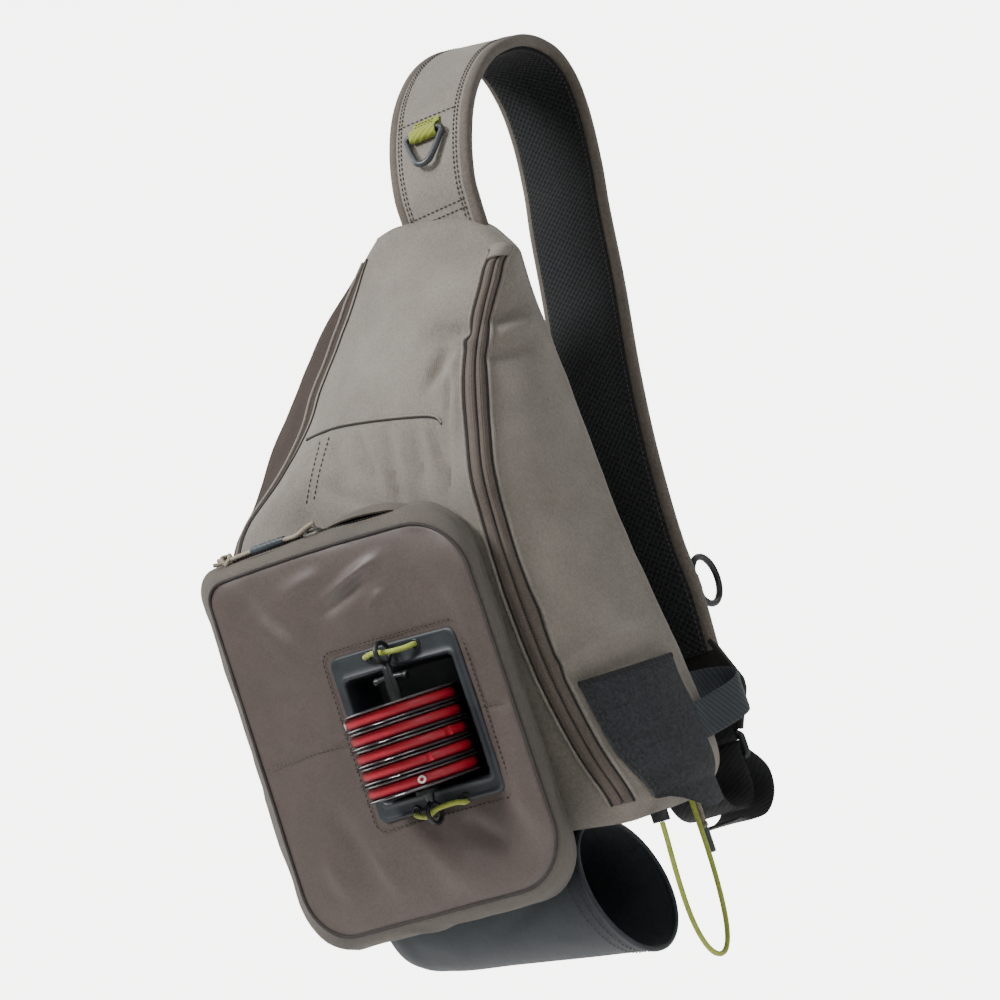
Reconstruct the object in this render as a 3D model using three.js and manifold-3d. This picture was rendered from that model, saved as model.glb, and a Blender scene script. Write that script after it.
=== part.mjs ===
// A fishing tackle sling bag: a teardrop pack that hangs from one padded shoulder strap.
// Millimetres. X runs to the viewer's right, Y towards the wearer's back, Z up the bag.
// Sizes are measured from the foot of the right side seam, on the plane of the back panel.
// The finished group is moved so that its origin lies under the strap's arch, where a
// shoulder or a peg carries the bag.

import * as THREE from 'three';
import { mergeVertices } from 'three/addons/utils/BufferGeometryUtils.js';
import Module from 'manifold-3d';

const wasm = await Module();
wasm.setup();

const V = (x, y, z) => new THREE.Vector3(x, y, z);

// Clearances and cloth
const SEAT = 0.3;
const CLOTH = 2.4;
const WEBBING = 2;

// Pack body
const BODY_HEIGHT = 404;
const LEFT_REACH = 241;
const RIGHT_REACH = 85;
const BODY_DEPTH = 95;
const BACK_ROUND = 8;
const FRONT_ROUND = 24;
const SIDE_SWELL = 6;
const FRONT_SWELL = 5;
const FOOT_SLOPE = 0.11;
const FOOT_X = 38;
const FOOT_FADE = 0.35;
const ROUND_LIMIT = 0.42;
const ZIP_ROUND = 12;
const ZIP_BAND = 20;
const ZIP_FIRST_ROW = 1;
const ZIP_LAST_ROW = 12;
const BACK_PAD_INSET = 14;
const BACK_PAD_THICK = 12;
const BACK_PAD_FOOT = 0.05;
const BACK_PAD_TOP = 0.95;
const GARAGE_THICK = 1.2;

// Front pocket
const POCKET_WIDTH = 216;
const POCKET_HEIGHT = 237;
const POCKET_DEPTH = 38.5;
const POCKET_X = -64;
const POCKET_Z = 100;
const POCKET_ROUND = 34;
const POCKET_CORNER_STEPS = 4;
const POCKET_ZIP_X = -72;
const POCKET_ZIP_WIDTH = 10;
const POCKET_ZIP_LENGTH = 136;
const SLIDER_X = -71;
const SLIDER_LENGTH = 13;
const SLIDER_WIDTH = 8.5;
const SLIDER_HEIGHT = 3;
const PULL_DIAMETER = 4.6;
const PULL_CORD = 3.2;
const PULL_KNOT = 5.4;
const POCKET_PULL_LENGTH = 74;
const MAIN_PULL_LENGTH = 38;
const MAIN_PULL_INSET = 9;

// Spool dock, tether and spools
const DOCK_WIDTH = 98;
const DOCK_HEIGHT = 108;
const DOCK_X = -28;
const DOCK_FOOT = 42;
const DOCK_FLANGE = 2.2;
const DOCK_SIDE_BAND = 7;
const DOCK_TOP_BAND = 16;
const DOCK_FOOT_BAND = 12;
const DOCK_RECESS = 28;
const DOCK_WALL = 2;
const DOCK_CORNER = 6;
const SPOOL_DIAMETER = 75;
const SPOOL_BAND_DIAMETER = 66;
const SPOOL_HEIGHT = 10.5;
const SPOOL_RIM = 1.7;
const SPOOL_GAP = 0.4;
const SPOOL_COUNT = 5;
const SPOOL_SEAT = 1.8;
const TETHER_DIAMETER = 7.4;
const BORE_CLEARANCE = 0.5;
const TETHER_EYE = 16.2;
const TETHER_CORD = 3;
const TETHER_CROSS = 25;
const TETHER_CROSS_DROP = 9;
const TETHER_STOP = 2.2;
const EYE_INSET = 5;
const EYE_OVERHANG = 1;
const TOGGLE_CORD = 3.4;
const TOGGLE_SPAN = 38;

// Bottle sleeve
const SLEEVE_DIAMETER = 85;
const SLEEVE_LENGTH = 188;
const SLEEVE_MOUTH_X = 38;
const SLEEVE_SETBACK = 0.5;
const SLEEVE_SIDES = 24;
const MOUTH_SLANT = 0.27;
const SLEEVE_CORD = 3.4;
const CORD_TAB_WIDTH = 12;
const CORD_TAB_THICK = 3;

// Shoulder strap and what is on it
const STRAP_WIDTH = 68;
const STRAP_REACH = 158;
const STRAP_SHELL = 7.5;
const LINING_THICK = 3.7;
const LINING_MARGIN = 7;
const D_RING_WIDTH = 36;
const D_RING_HEIGHT = 30;
const D_RING_ROD = 3.6;
const D_RING_THICK = 2.9;
const D_RING_SHARE = 0.1375;
const D_RING_STAND = 2.2;
const D_TAB_WIDTH = 21;
const D_TAB_WALL = 1.3;
const D_TAB_LOOSE = 0.5;
const D_TAB_REACH = 11;
const WING_SEAT = 1.2;
const NET_RING_DIAMETER = 37;
const NET_RING_ROD = 4.6;
const NET_RING_X = 80;
const NET_RING_Z = 123;
const LOWER_WEBBING_WIDTH = 40;
const WEBBING_DROP = 22.5;
const WING_LENGTH = 52;
const WING_THICK = 3.6;
const WING_SHIFT = 6.5;
const WING_LEAN = 3;
const WING_MARGIN = 2;
const NET_TAB_WALL = 1.2;
const NET_TAB_LOOSE = 0.6;
const NET_TAB_HEIGHT = 7;
const NET_TAB_STAND = 0.73;
const ADJUSTER_HEIGHT = 20;
const ADJUSTER_THICK = 5;
const ADJUSTER_SLOT = 3.8;
const ADJUSTER_BAR = 4.4;
const ADJUSTER_SEAT = 0.7;
const ANCHOR_HEIGHT = 20;

// Side of the pack
const PATCH_THICK = 2.6;
const PATCH_HEM = 17;
const SIDE_LOOP_HEIGHT = 24;
const SIDE_LOOP_Z = 44;
const SIDE_LOOP_OUT = 8;
const SIDE_LOOP_BACK = 30;

// One row for each level of the pack: its height as a share of BODY_HEIGHT, its reach to the
// left on the back and on the front as shares of LEFT_REACH, its reach to the right on the
// front and on the back as shares of RIGHT_REACH, its depth as a share of BODY_DEPTH, and how
// far the front panel swells as a share of FRONT_SWELL.
const BODY_ROWS = [
  [0.000, 0.780, 0.700, 0.730, 0.890, 0.905, 0.0],
  [0.030, 0.855, 0.745, 0.780, 0.976, 0.985, 0.0],
  [0.100, 0.917, 0.760, 0.705, 1.000, 1.000, 0.0],
  [0.210, 0.963, 0.760, 0.625, 0.988, 1.000, 0.0],
  [0.345, 0.996, 0.750, 0.553, 0.960, 1.000, 0.0],
  [0.470, 1.000, 0.720, 0.512, 0.935, 1.000, 0.0],
  [0.570, 0.980, 0.675, 0.494, 0.912, 0.985, 0.0],
  [0.624, 0.942, 0.620, 0.494, 0.900, 0.915, 0.6],
  [0.680, 0.859, 0.477, 0.506, 0.894, 0.830, 1.0],
  [0.735, 0.776, 0.373, 0.541, 0.882, 0.740, 1.0],
  [0.805, 0.656, 0.307, 0.623, 0.859, 0.580, 1.0],
  [0.871, 0.523, 0.241, 0.694, 0.830, 0.425, 0.7],
  [0.926, 0.390, 0.183, 0.730, 0.800, 0.305, 0.4],
  [0.965, 0.257, 0.149, 0.718, 0.777, 0.250, 0.2],
  [0.990, 0.158, 0.124, 0.670, 0.730, 0.220, 0.0],
  [1.000, 0.124, 0.108, 0.620, 0.670, 0.195, 0.0],
].map(([height, left, frontLeft, frontRight, right, depth, swell]) => (
  { height, left, frontLeft, frontRight, right, depth, swell }
));

// One row for each step of the pocket from the pack to its face: the share of POCKET_DEPTH,
// and its reach from the pocket's middle as shares of half its width and half its height.
const POCKET_ROWS = [
  { out: 0.00, left: 1.056, right: 0.852, foot: 1.100, top: 1.105, round: 0.95 },
  { out: 0.35, left: 1.102, right: 0.926, foot: 1.130, top: 1.112, round: 1.05 },
  { out: 0.80, left: 1.037, right: 1.000, foot: 1.080, top: 1.060, round: 1.05 },
  { out: 0.96, left: 0.963, right: 1.000, foot: 1.030, top: 1.010, round: 1.00 },
  { out: 1.00, left: 0.898, right: 0.963, foot: 0.990, top: 0.970, round: 0.88 },
];

// One row for each step of the sleeve from its closed end to its mouth: the share of its
// length, and its half height and half depth as shares of its radius.
const SLEEVE_ROWS = [
  { along: 0.000, tall: 0.62, deep: 0.50 },
  { along: 0.025, tall: 0.80, deep: 0.70 },
  { along: 0.080, tall: 0.93, deep: 0.88 },
  { along: 0.180, tall: 0.99, deep: 0.97 },
  { along: 0.450, tall: 1.00, deep: 1.00 },
  { along: 0.750, tall: 1.00, deep: 1.00 },
  { along: 1.000, tall: 1.00, deep: 1.00 },
];

// The side loop's line at its own level: how far it stands out of the pack's right side as a
// share of SIDE_LOOP_OUT, and how far back it lies as a share of SIDE_LOOP_BACK.
const SIDE_LOOP_ROWS = [
  { out: 0.7750, back: -0.7333 },
  { out: 0.8250, back: -0.3333 },
  { out: 0.9500, back: 0.0667 },
  { out: 1.0000, back: 0.4667 },
  { out: 0.5625, back: 0.8333 },
  { out: -0.3750, back: 1.0000 },
  { out: -1.2500, back: 0.8667 },
  { out: -1.5500, back: 0.5000 },
  { out: -1.6000, back: 0.0800 },
];

// The strap's middle line from the crown over the shoulder to its lower end: x as a share of
// RIGHT_REACH, y of STRAP_REACH and z of BODY_HEIGHT, with its width and how much higher its
// left edge lies than its right edge as shares of STRAP_WIDTH.
const STRAP_ROWS = [
  { x: 0.3412, y: -0.0646, z: 1.0025, width: 0.92, lift: 0.000 },
  { x: 0.3471, y: -0.0601, z: 1.0421, width: 0.93, lift: 0.000 },
  { x: 0.3588, y: 0.0032, z: 1.1139, width: 0.96, lift: 0.044 },
  { x: 0.3706, y: 0.1266, z: 1.1881, width: 0.98, lift: 0.118 },
  { x: 0.3765, y: 0.3291, z: 1.2550, width: 1.00, lift: 0.191 },
  { x: 0.3824, y: 0.5443, z: 1.2921, width: 1.00, lift: 0.235 },
  { x: 0.3765, y: 0.7595, z: 1.3045, width: 1.00, lift: 0.235 },
  { x: 0.3706, y: 0.9177, z: 1.2822, width: 1.00, lift: 0.176 },
  { x: 0.3588, y: 0.9905, z: 1.2376, width: 1.00, lift: 0.088 },
  { x: 0.3588, y: 1.0000, z: 1.1757, width: 1.00, lift: 0.029 },
  { x: 0.3765, y: 0.9304, z: 1.0718, width: 1.00, lift: 0.000 },
  { x: 0.4118, y: 0.8291, z: 0.9851, width: 1.00, lift: 0.000 },
  { x: 0.4588, y: 0.6962, z: 0.8465, width: 1.00, lift: 0.000 },
  { x: 0.5176, y: 0.5190, z: 0.6658, width: 1.00, lift: 0.000 },
  { x: 0.5706, y: 0.3956, z: 0.5272, width: 0.98, lift: 0.000 },
  { x: 0.6235, y: 0.3196, z: 0.3738, width: 0.94, lift: 0.000 },
  { x: 0.6776, y: 0.2943, z: 0.2921, width: 0.91, lift: 0.000 },
  { x: 0.6824, y: 0.2753, z: 0.1931, width: 0.88, lift: 0.000 },
];
const STRAP_STEPS = 34;
const ARCH_SHARE = 0.36;

// The elastic cord that holds a bottle in the sleeve hangs from its tab in a free loop.
const SLEEVE_CORD_POINTS = [
  [77.0, -71.5, -9.0], [76.8, -71.8, -18.0], [76.2, -72.0, -28.5], [75.4, -71.8, -39.5],
  [74.5, -71.0, -50.5], [73.6, -69.6, -61.5], [72.8, -67.2, -72.0], [72.2, -63.6, -81.5],
  [71.8, -58.8, -89.5], [71.6, -53.0, -95.0], [71.4, -46.5, -97.6], [71.2, -40.0, -97.2],
  [71.0, -34.2, -93.6], [70.8, -29.4, -87.2], [70.6, -25.6, -78.4], [70.4, -22.8, -68.0],
  [70.2, -20.8, -56.8], [70.0, -19.4, -45.0], [69.8, -18.6, -33.2], [69.6, -18.2, -21.8],
  [69.5, -18.0, -12.0], [69.5, -18.0, -4.6],
];

// The lower webbing leaves the adjuster, sags below the pack and comes up to its anchor. One
// row for each point: x and y as the strap's, how far it follows the adjuster's height, and
// how far it drops as a share of WEBBING_DROP. The tail's rows are the same.
const LOWER_WEBBING_ROWS = [
  { x: 0.7588, y: 0.2500, hang: 1.00, drop: 0.0000 },
  { x: 0.7588, y: 0.2487, hang: 0.85, drop: 0.4102 },
  { x: 0.7588, y: 0.2278, hang: 0.70, drop: 0.7849 },
  { x: 0.7412, y: 0.1835, hang: 0.50, drop: 1.0400 },
  { x: 0.7176, y: 0.1266, hang: 0.35, drop: 1.0591 },
  { x: 0.7000, y: 0.0728, hang: 0.20, drop: 0.8338 },
  { x: 0.6894, y: 0.0392, hang: 0.10, drop: 0.4613 },
  { x: 0.6824, y: 0.0278, hang: 0.00, drop: 0.0000 },
  { x: 0.6824, y: 0.0272, hang: 0.00, drop: -0.4444 },
];
const WEBBING_TAIL_ROWS = [
  { x: 0.7882, y: 0.2823, hang: 1.00, drop: -0.7200 },
  { x: 0.8176, y: 0.3165, hang: 0.80, drop: -0.2204 },
  { x: 0.8412, y: 0.3354, hang: 0.65, drop: 0.3764 },
  { x: 0.8353, y: 0.3165, hang: 0.50, drop: 0.9289 },
  { x: 0.8000, y: 0.2627, hang: 0.40, drop: 1.3342 },
  { x: 0.7529, y: 0.1899, hang: 0.35, drop: 1.4369 },
  { x: 0.7118, y: 0.1266, hang: 0.35, drop: 1.3480 },
];

// Materials
function cloth(color, roughness = 0.85) {
  return new THREE.MeshStandardMaterial({ color, roughness, metalness: 0 });
}
const TAUPE_NYLON = cloth(0x958e85, 0.75);
const COATED_NYLON = cloth(0x5f5651, 0.5);
const SLATE_NYLON = cloth(0x3b444b, 0.7);
const BLACK_MESH = cloth(0x1c1f21, 0.95);
const SLATE_WEBBING = cloth(0x3d4549, 0.8);
const BLACK_WEBBING = cloth(0x17191b, 0.8);
const WOOL_FELT = cloth(0x3a4046, 1);
const DOCK_RUBBER = cloth(0x343c42, 0.6);
const BLACK_RUBBER = cloth(0x17191b, 0.5);
const GREEN_CORD = cloth(0xb3c25a, 0.8);
const ZIP_COIL = cloth(0x4a443f, 0.5);
const GREY_PLASTIC = cloth(0x55585a, 0.45);
const RED_PLASTIC = cloth(0xc01f2e, 0.3);
const PALE_CORD = cloth(0xb7b0a2, 0.8);

// Geometry from points and triangles, turned so that its faces point outwards.
function closedGeometry(points, triangles) {
  let volume = 0;
  for (const [a, b, c] of triangles) {
    volume += points[a].dot(V(0, 0, 0).crossVectors(points[b], points[c]));
  }
  const order = volume < 0 ? ([a, b, c]) => [a, c, b] : (t) => t;
  const geometry = new THREE.BufferGeometry();
  geometry.setFromPoints(points);
  geometry.setIndex(triangles.flatMap(order));
  return geometry;
}

// A solid through rings of equal length, closed at both ends by a fan.
function loft(rings) {
  const count = rings[0].length;
  const points = rings.flat();
  const triangles = [];
  for (let r = 0; r + 1 < rings.length; r += 1) {
    for (let c = 0; c < count; c += 1) {
      const a = r * count + c;
      const b = r * count + (c + 1) % count;
      triangles.push([a, b, b + count], [a, b + count, a + count]);
    }
  }
  for (const r of [0, rings.length - 1]) {
    const middle = points.length;
    points.push(rings[r].reduce((sum, p) => sum.add(p), V(0, 0, 0)).divideScalar(count));
    for (let c = 0; c < count; c += 1) {
      const a = r * count + c;
      const b = r * count + (c + 1) % count;
      triangles.push(r === 0 ? [middle, b, a] : [middle, a, b]);
    }
  }
  return closedGeometry(points, triangles);
}

// A sheet of two layers over a grid of points, closed round its border.
function sheetSolid(lower, upper) {
  const rows = lower.length;
  const columns = lower[0].length;
  const points = [...lower.flat(), ...upper.flat()];
  const layer = rows * columns;
  const at = (r, c) => r * columns + c;
  const triangles = [];
  const quad = (a, b, c, d) => triangles.push([a, b, c], [a, c, d]);
  for (let r = 0; r + 1 < rows; r += 1) {
    for (let c = 0; c + 1 < columns; c += 1) {
      quad(at(r, c), at(r + 1, c), at(r + 1, c + 1), at(r, c + 1));
      quad(layer + at(r, c), layer + at(r, c + 1), layer + at(r + 1, c + 1), layer + at(r + 1, c));
    }
  }
  const border = [];
  for (let c = 0; c + 1 < columns; c += 1) {
    border.push(at(0, c));
  }
  for (let r = 0; r + 1 < rows; r += 1) {
    border.push(at(r, columns - 1));
  }
  for (let c = columns - 1; c > 0; c -= 1) {
    border.push(at(rows - 1, c));
  }
  for (let r = rows - 1; r > 0; r -= 1) {
    border.push(at(r, 0));
  }
  border.forEach((a, i) => {
    const b = border[(i + 1) % border.length];
    quad(a, b, layer + b, layer + a);
  });
  return closedGeometry(points, triangles);
}

function toManifold(geometry) {
  const plain = geometry.clone();
  plain.deleteAttribute('normal');
  plain.deleteAttribute('uv');
  const merged = mergeVertices(plain, 1e-4);
  const vertProperties = new Float32Array(merged.attributes.position.array);
  const triVerts = new Uint32Array(merged.index.array);
  return new wasm.Manifold(new wasm.Mesh({ numProp: 3, vertProperties, triVerts }));
}

function toGeometry(manifold) {
  const { vertProperties, triVerts } = manifold.getMesh();
  const geometry = new THREE.BufferGeometry();
  geometry.setAttribute('position', new THREE.BufferAttribute(new Float32Array(vertProperties), 3));
  geometry.setIndex(Array.from(triVerts));
  return geometry;
}

function joined(...geometries) {
  return toGeometry(geometries.map(toManifold).reduce((whole, piece) => whole.add(piece)));
}

function placedBox(x, y, z, sizeX, sizeY, sizeZ) {
  return new THREE.BoxGeometry(sizeX, sizeY, sizeZ).translate(x, y, z);
}

// A round rod between two points.
function rod(from, to, radius, sides = 12) {
  const along = V(0, 0, 0).subVectors(to, from);
  const geometry = new THREE.CylinderGeometry(radius, radius, along.length(), sides);
  const turn = new THREE.Quaternion().setFromUnitVectors(V(0, 1, 0), along.clone().normalize());
  geometry.applyQuaternion(turn);
  const middle = V(0, 0, 0).addVectors(from, to).multiplyScalar(0.5);
  return geometry.translate(middle.x, middle.y, middle.z);
}

function circleShape(radius, sides) {
  const angles = Array.from({ length: sides }, (_, i) => (2 * Math.PI * i) / sides);
  const point = (angle) => new THREE.Vector2(radius * Math.cos(angle), radius * Math.sin(angle));
  return new THREE.Shape(angles.map(point));
}

// A flat piece of one thickness, drawn in X and Y and raised along Z.
function plate(shape, depth, curveSegments = 2) {
  return new THREE.ExtrudeGeometry(shape, { depth, curveSegments, bevelEnabled: false });
}

// A cord through chosen points, as a section with few sides carried along a curve.
function cordGeometry(points, diameter, steps, sides = 8) {
  const extrudePath = new THREE.CatmullRomCurve3(points.map((p) => V(...p)));
  return new THREE.ExtrudeGeometry(circleShape(diameter / 2, sides), { steps, extrudePath });
}

function roundedRect(width, height, round) {
  const shape = new THREE.Shape();
  const x = width / 2;
  const y = height / 2;
  shape.moveTo(-x + round, -y);
  shape.lineTo(x - round, -y);
  shape.quadraticCurveTo(x, -y, x, -y + round);
  shape.lineTo(x, y - round);
  shape.quadraticCurveTo(x, y, x - round, y);
  shape.lineTo(-x + round, y);
  shape.quadraticCurveTo(-x, y, -x, y - round);
  shape.lineTo(-x, -y + round);
  shape.quadraticCurveTo(-x, -y, -x + round, -y);
  return shape;
}

// The frame of a band at one point of its line: along it, across it and out of it.
function bandFrame(curve, share, lift, width) {
  const along = curve.getTangent(share);
  const across = V(Math.sqrt(Math.max(width * width - lift * lift, 1)), 0, -lift).normalize();
  const out = V(0, 0, 0).crossVectors(across, along).normalize();
  across.crossVectors(along, out).normalize();
  return { centre: curve.getPoint(share), along, across, out };
}

// A flat band of webbing through chosen points, as wide as it is across its line.
function webbingBand(points, width, thick, steps, across = V(1, 0, 0)) {
  const curve = new THREE.CatmullRomCurve3(points.map((p) => V(...p)));
  const rings = [];
  for (let i = 0; i <= steps; i += 1) {
    const centre = curve.getPoint(i / steps);
    const along = curve.getTangent(i / steps);
    const out = V(0, 0, 0).crossVectors(across, along).normalize();
    const side = V(0, 0, 0).crossVectors(along, out).normalize();
    const corner = (a, b) => {
      const edge = centre.clone().addScaledVector(side, (a * width) / 2);
      return edge.addScaledVector(out, (b * thick) / 2);
    };
    rings.push([corner(-1, -1), corner(1, -1), corner(1, 1), corner(-1, 1)]);
  }
  return loft(rings);
}

// Pack body

// How many steps each corner and side of the outline has, starting at the back left corner.
const CORNER_STEPS = [3, 4, 4, 3];
const SIDE_STEPS = [5, 7, 6, 5];
const ZIP_COLUMN = CORNER_STEPS[0] + SIDE_STEPS[0] + CORNER_STEPS[1] + SIDE_STEPS[1];
const RIGHT_COLUMN = ZIP_COLUMN + CORNER_STEPS[2];

// The pack's foot rises to the left, and this slope fades out higher up.
function bodyLevel(row, x) {
  const lift = Math.max(0, 1 - row.height / FOOT_FADE);
  return row.height * BODY_HEIGHT + FOOT_SLOPE * (FOOT_X - x) * lift;
}

function bodyOutline(row) {
  const corners = [
    new THREE.Vector2(-LEFT_REACH * row.left, 0),
    new THREE.Vector2(-LEFT_REACH * row.frontLeft, -BODY_DEPTH * row.depth),
    new THREE.Vector2(RIGHT_REACH * row.frontRight, -BODY_DEPTH * row.depth),
    new THREE.Vector2(RIGHT_REACH * row.right, 0),
  ];
  const rounds = [BACK_ROUND, FRONT_ROUND, ZIP_ROUND, BACK_ROUND];
  const swells = [SIDE_SWELL * row.depth, FRONT_SWELL * row.swell, SIDE_SWELL * row.depth, 0];
  const towards = (from, to, distance) => {
    const reach = Math.min(distance, ROUND_LIMIT * from.distanceTo(to));
    return from.clone().lerp(to, reach / from.distanceTo(to));
  };
  const outline = [];
  corners.forEach((corner, k) => {
    const before = corners[(k + 3) % 4];
    const after = corners[(k + 1) % 4];
    const start = towards(corner, before, rounds[k]);
    const end = towards(corner, after, rounds[k]);
    const next = towards(after, corner, rounds[(k + 1) % 4]);
    const bend = new THREE.QuadraticBezierCurve(start, corner, end);
    for (let i = 0; i < CORNER_STEPS[k]; i += 1) {
      outline.push(bend.getPoint(i / CORNER_STEPS[k]));
    }
    const outward = new THREE.Vector2(after.y - corner.y, corner.x - after.x).normalize();
    for (let i = 0; i < SIDE_STEPS[k]; i += 1) {
      const t = i / SIDE_STEPS[k];
      outline.push(end.clone().lerp(next, t).addScaledVector(outward, swells[k] * 4 * t * (1 - t)));
    }
  });
  return outline.map((p) => V(p.x, p.y, bodyLevel(row, p.x)));
}

const BODY_GRID = BODY_ROWS.map(bodyOutline);
const BODY_COLUMNS = BODY_GRID[0].length;

function bodyPoint(row, column) {
  const r = Math.min(Math.floor(row), BODY_GRID.length - 2);
  const c = Math.floor(column);
  const at = (i, j) => BODY_GRID[i][(j + BODY_COLUMNS) % BODY_COLUMNS];
  const low = at(r, c).clone().lerp(at(r, c + 1), column - c);
  const high = at(r + 1, c).clone().lerp(at(r + 1, c + 1), column - c);
  return low.lerp(high, row - r);
}

function bodyNormal(row, column) {
  const last = BODY_GRID.length - 1;
  const step = 0.5;
  const around = bodyPoint(row, column + step).sub(bodyPoint(row, column - step + BODY_COLUMNS));
  const up = bodyPoint(Math.min(row + step, last), column).sub(bodyPoint(Math.max(row - step, 0), column));
  return around.cross(up).normalize();
}

function offBody(row, column, offset) {
  return bodyPoint(row, column).addScaledVector(bodyNormal(row, column), offset);
}

// The pack's inner face, one cloth thickness inside its outer one.
function innerRing(row) {
  const last = BODY_GRID.length - 1;
  const end = row === 0 ? -1 : Number(row === last);
  return BODY_GRID[row].map((p, column) => {
    const inward = bodyNormal(row, column).add(V(0, 0, end)).normalize();
    return p.clone().addScaledVector(inward, -CLOTH);
  });
}

// A sheet that follows the pack, between two distances from its outer face.
function bodySheet(rows, columns, from, to) {
  const layer = (offset) => rows.map((row) => columns.map((column) => offBody(row, column, offset)));
  return sheetSolid(layer(from), layer(to));
}

function range(from, to, steps) {
  return Array.from({ length: steps + 1 }, (_, i) => from + ((to - from) * i) / steps);
}

const PACK_CAVITY = toManifold(loft(BODY_ROWS.map((_, row) => innerRing(row))));
const PACK_WALL = toManifold(loft(BODY_GRID)).subtract(PACK_CAVITY);

function levelGap(row) {
  return BODY_HEIGHT * (BODY_ROWS[row + 1].height - BODY_ROWS[row].height);
}

function zipSlot(gap) {
  const rows = range(ZIP_FIRST_ROW, ZIP_LAST_ROW, ZIP_LAST_ROW - ZIP_FIRST_ROW);
  const edge = gap / (ZIP_BAND / CORNER_STEPS[2]);
  const columns = range(ZIP_COLUMN, RIGHT_COLUMN, CORNER_STEPS[2]);
  rows[0] += gap / levelGap(ZIP_FIRST_ROW);
  rows[rows.length - 1] -= gap / levelGap(ZIP_LAST_ROW - 1);
  columns[0] += edge;
  columns[columns.length - 1] -= edge;
  return toManifold(bodySheet(rows, columns, -2 * CLOTH, 2 * CLOTH));
}

function bodyShell() {
  return toGeometry(PACK_WALL.subtract(zipSlot(0)));
}

function mainZipper() {
  return toGeometry(PACK_WALL.intersect(zipSlot(SEAT)));
}

// A hood of cloth over the zip's top end.
function zipGarage() {
  const rows = [ZIP_LAST_ROW - 0.35, ZIP_LAST_ROW, ZIP_LAST_ROW + 0.55];
  const columns = range(ZIP_COLUMN, RIGHT_COLUMN, CORNER_STEPS[2]);
  return bodySheet(rows, columns, 2 * SEAT, 2 * SEAT + GARAGE_THICK);
}

// The padded panel on the wearer's back: the pack's own back outline, drawn in.
function backPad() {
  const shape = new THREE.Shape();
  const rows = BODY_ROWS.filter((row) => row.height > BACK_PAD_FOOT && row.height < BACK_PAD_TOP);
  const left = (row) => BACK_PAD_INSET - LEFT_REACH * row.left;
  const right = (row) => RIGHT_REACH * row.right - BACK_PAD_INSET;
  const corner = (row, x) => new THREE.Vector2(x, bodyLevel(row, x));
  const up = rows.map((row) => corner(row, left(row)));
  const down = rows.map((row) => corner(row, right(row))).reverse();
  shape.setFromPoints([...up, ...down]);
  const bevel = BACK_PAD_THICK / 3;
  const geometry = new THREE.ExtrudeGeometry(shape, {
    depth: BACK_PAD_THICK - 2 * bevel,
    bevelThickness: bevel,
    bevelSize: bevel,
    bevelOffset: -bevel,
    bevelSegments: 2,
  });
  return geometry.rotateX(Math.PI / 2).translate(0, SEAT + BACK_PAD_THICK - bevel, 0);
}

// Front pocket

const POCKET_BACK_Y = -BODY_DEPTH - SEAT;
const POCKET_FACE_Y = POCKET_BACK_Y - POCKET_DEPTH;

function pocketRing(row, inset) {
  const left = POCKET_X - (POCKET_WIDTH / 2) * row.left + inset;
  const right = POCKET_X + (POCKET_WIDTH / 2) * row.right - inset;
  const foot = POCKET_Z - (POCKET_HEIGHT / 2) * row.foot + inset;
  const top = POCKET_Z + (POCKET_HEIGHT / 2) * row.top - inset;
  const round = POCKET_ROUND * row.round - inset;
  const y = POCKET_BACK_Y - POCKET_DEPTH * row.out;
  const ring = [];
  const centres = [
    [right - round, foot + round, -1],
    [right - round, top - round, 0],
    [left + round, top - round, 1],
    [left + round, foot + round, 2],
  ];
  for (const [x, z, quarter] of centres) {
    for (let i = 0; i <= POCKET_CORNER_STEPS; i += 1) {
      const angle = (quarter + i / POCKET_CORNER_STEPS) * (Math.PI / 2);
      ring.push(V(x + round * Math.cos(angle), y, z + round * Math.sin(angle)));
    }
  }
  return ring;
}

function pocketWall() {
  const outer = toManifold(loft(POCKET_ROWS.map((row) => pocketRing(row, 0))));
  const rings = POCKET_ROWS.map((row) => pocketRing(row, CLOTH));
  const shift = (ring, distance) => ring.map((p) => p.add(V(0, distance, 0)));
  shift(rings[0], -CLOTH);
  shift(rings.at(-1), CLOTH);
  shift(rings.at(-2), CLOTH * 0.8);
  return outer.subtract(toManifold(loft(rings)));
}

// The zip runs along the gusset's top, which falls from the pack to the face.
const [, GUSSET_BACK, GUSSET_FRONT] = POCKET_ROWS;
const GUSSET_FALL = (POCKET_HEIGHT / 2) * (GUSSET_BACK.top - GUSSET_FRONT.top);
const GUSSET_RUN = POCKET_DEPTH * (GUSSET_FRONT.out - GUSSET_BACK.out);
const GUSSET_SLOPE = Math.atan2(GUSSET_FALL, GUSSET_RUN);
const POCKET_ZIP_Y = POCKET_BACK_Y - (POCKET_DEPTH / 2) * (GUSSET_BACK.out + GUSSET_FRONT.out);
const POCKET_ZIP_Z = POCKET_Z + (POCKET_HEIGHT / 4) * (GUSSET_BACK.top + GUSSET_FRONT.top);

function pocketZipBox(gap) {
  const length = POCKET_ZIP_LENGTH - 2 * gap;
  const width = POCKET_ZIP_WIDTH - 2 * gap;
  return toManifold(placedBox(POCKET_ZIP_X, POCKET_ZIP_Y, POCKET_ZIP_Z, length, width, 8 * CLOTH));
}

const DOCK_Z = DOCK_FOOT + DOCK_HEIGHT / 2;
const RECESS_WIDTH = DOCK_WIDTH - 2 * DOCK_SIDE_BAND;
const RECESS_FOOT = DOCK_FOOT + DOCK_FOOT_BAND;
const RECESS_HEIGHT = DOCK_HEIGHT - DOCK_FOOT_BAND - DOCK_TOP_BAND;
const RECESS_Z = RECESS_FOOT + RECESS_HEIGHT / 2;

function recessBox(grow, y, depth) {
  const width = RECESS_WIDTH + 2 * grow;
  const height = RECESS_HEIGHT + 2 * grow;
  return toManifold(placedBox(DOCK_X, y, RECESS_Z, width, depth, height));
}

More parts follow.
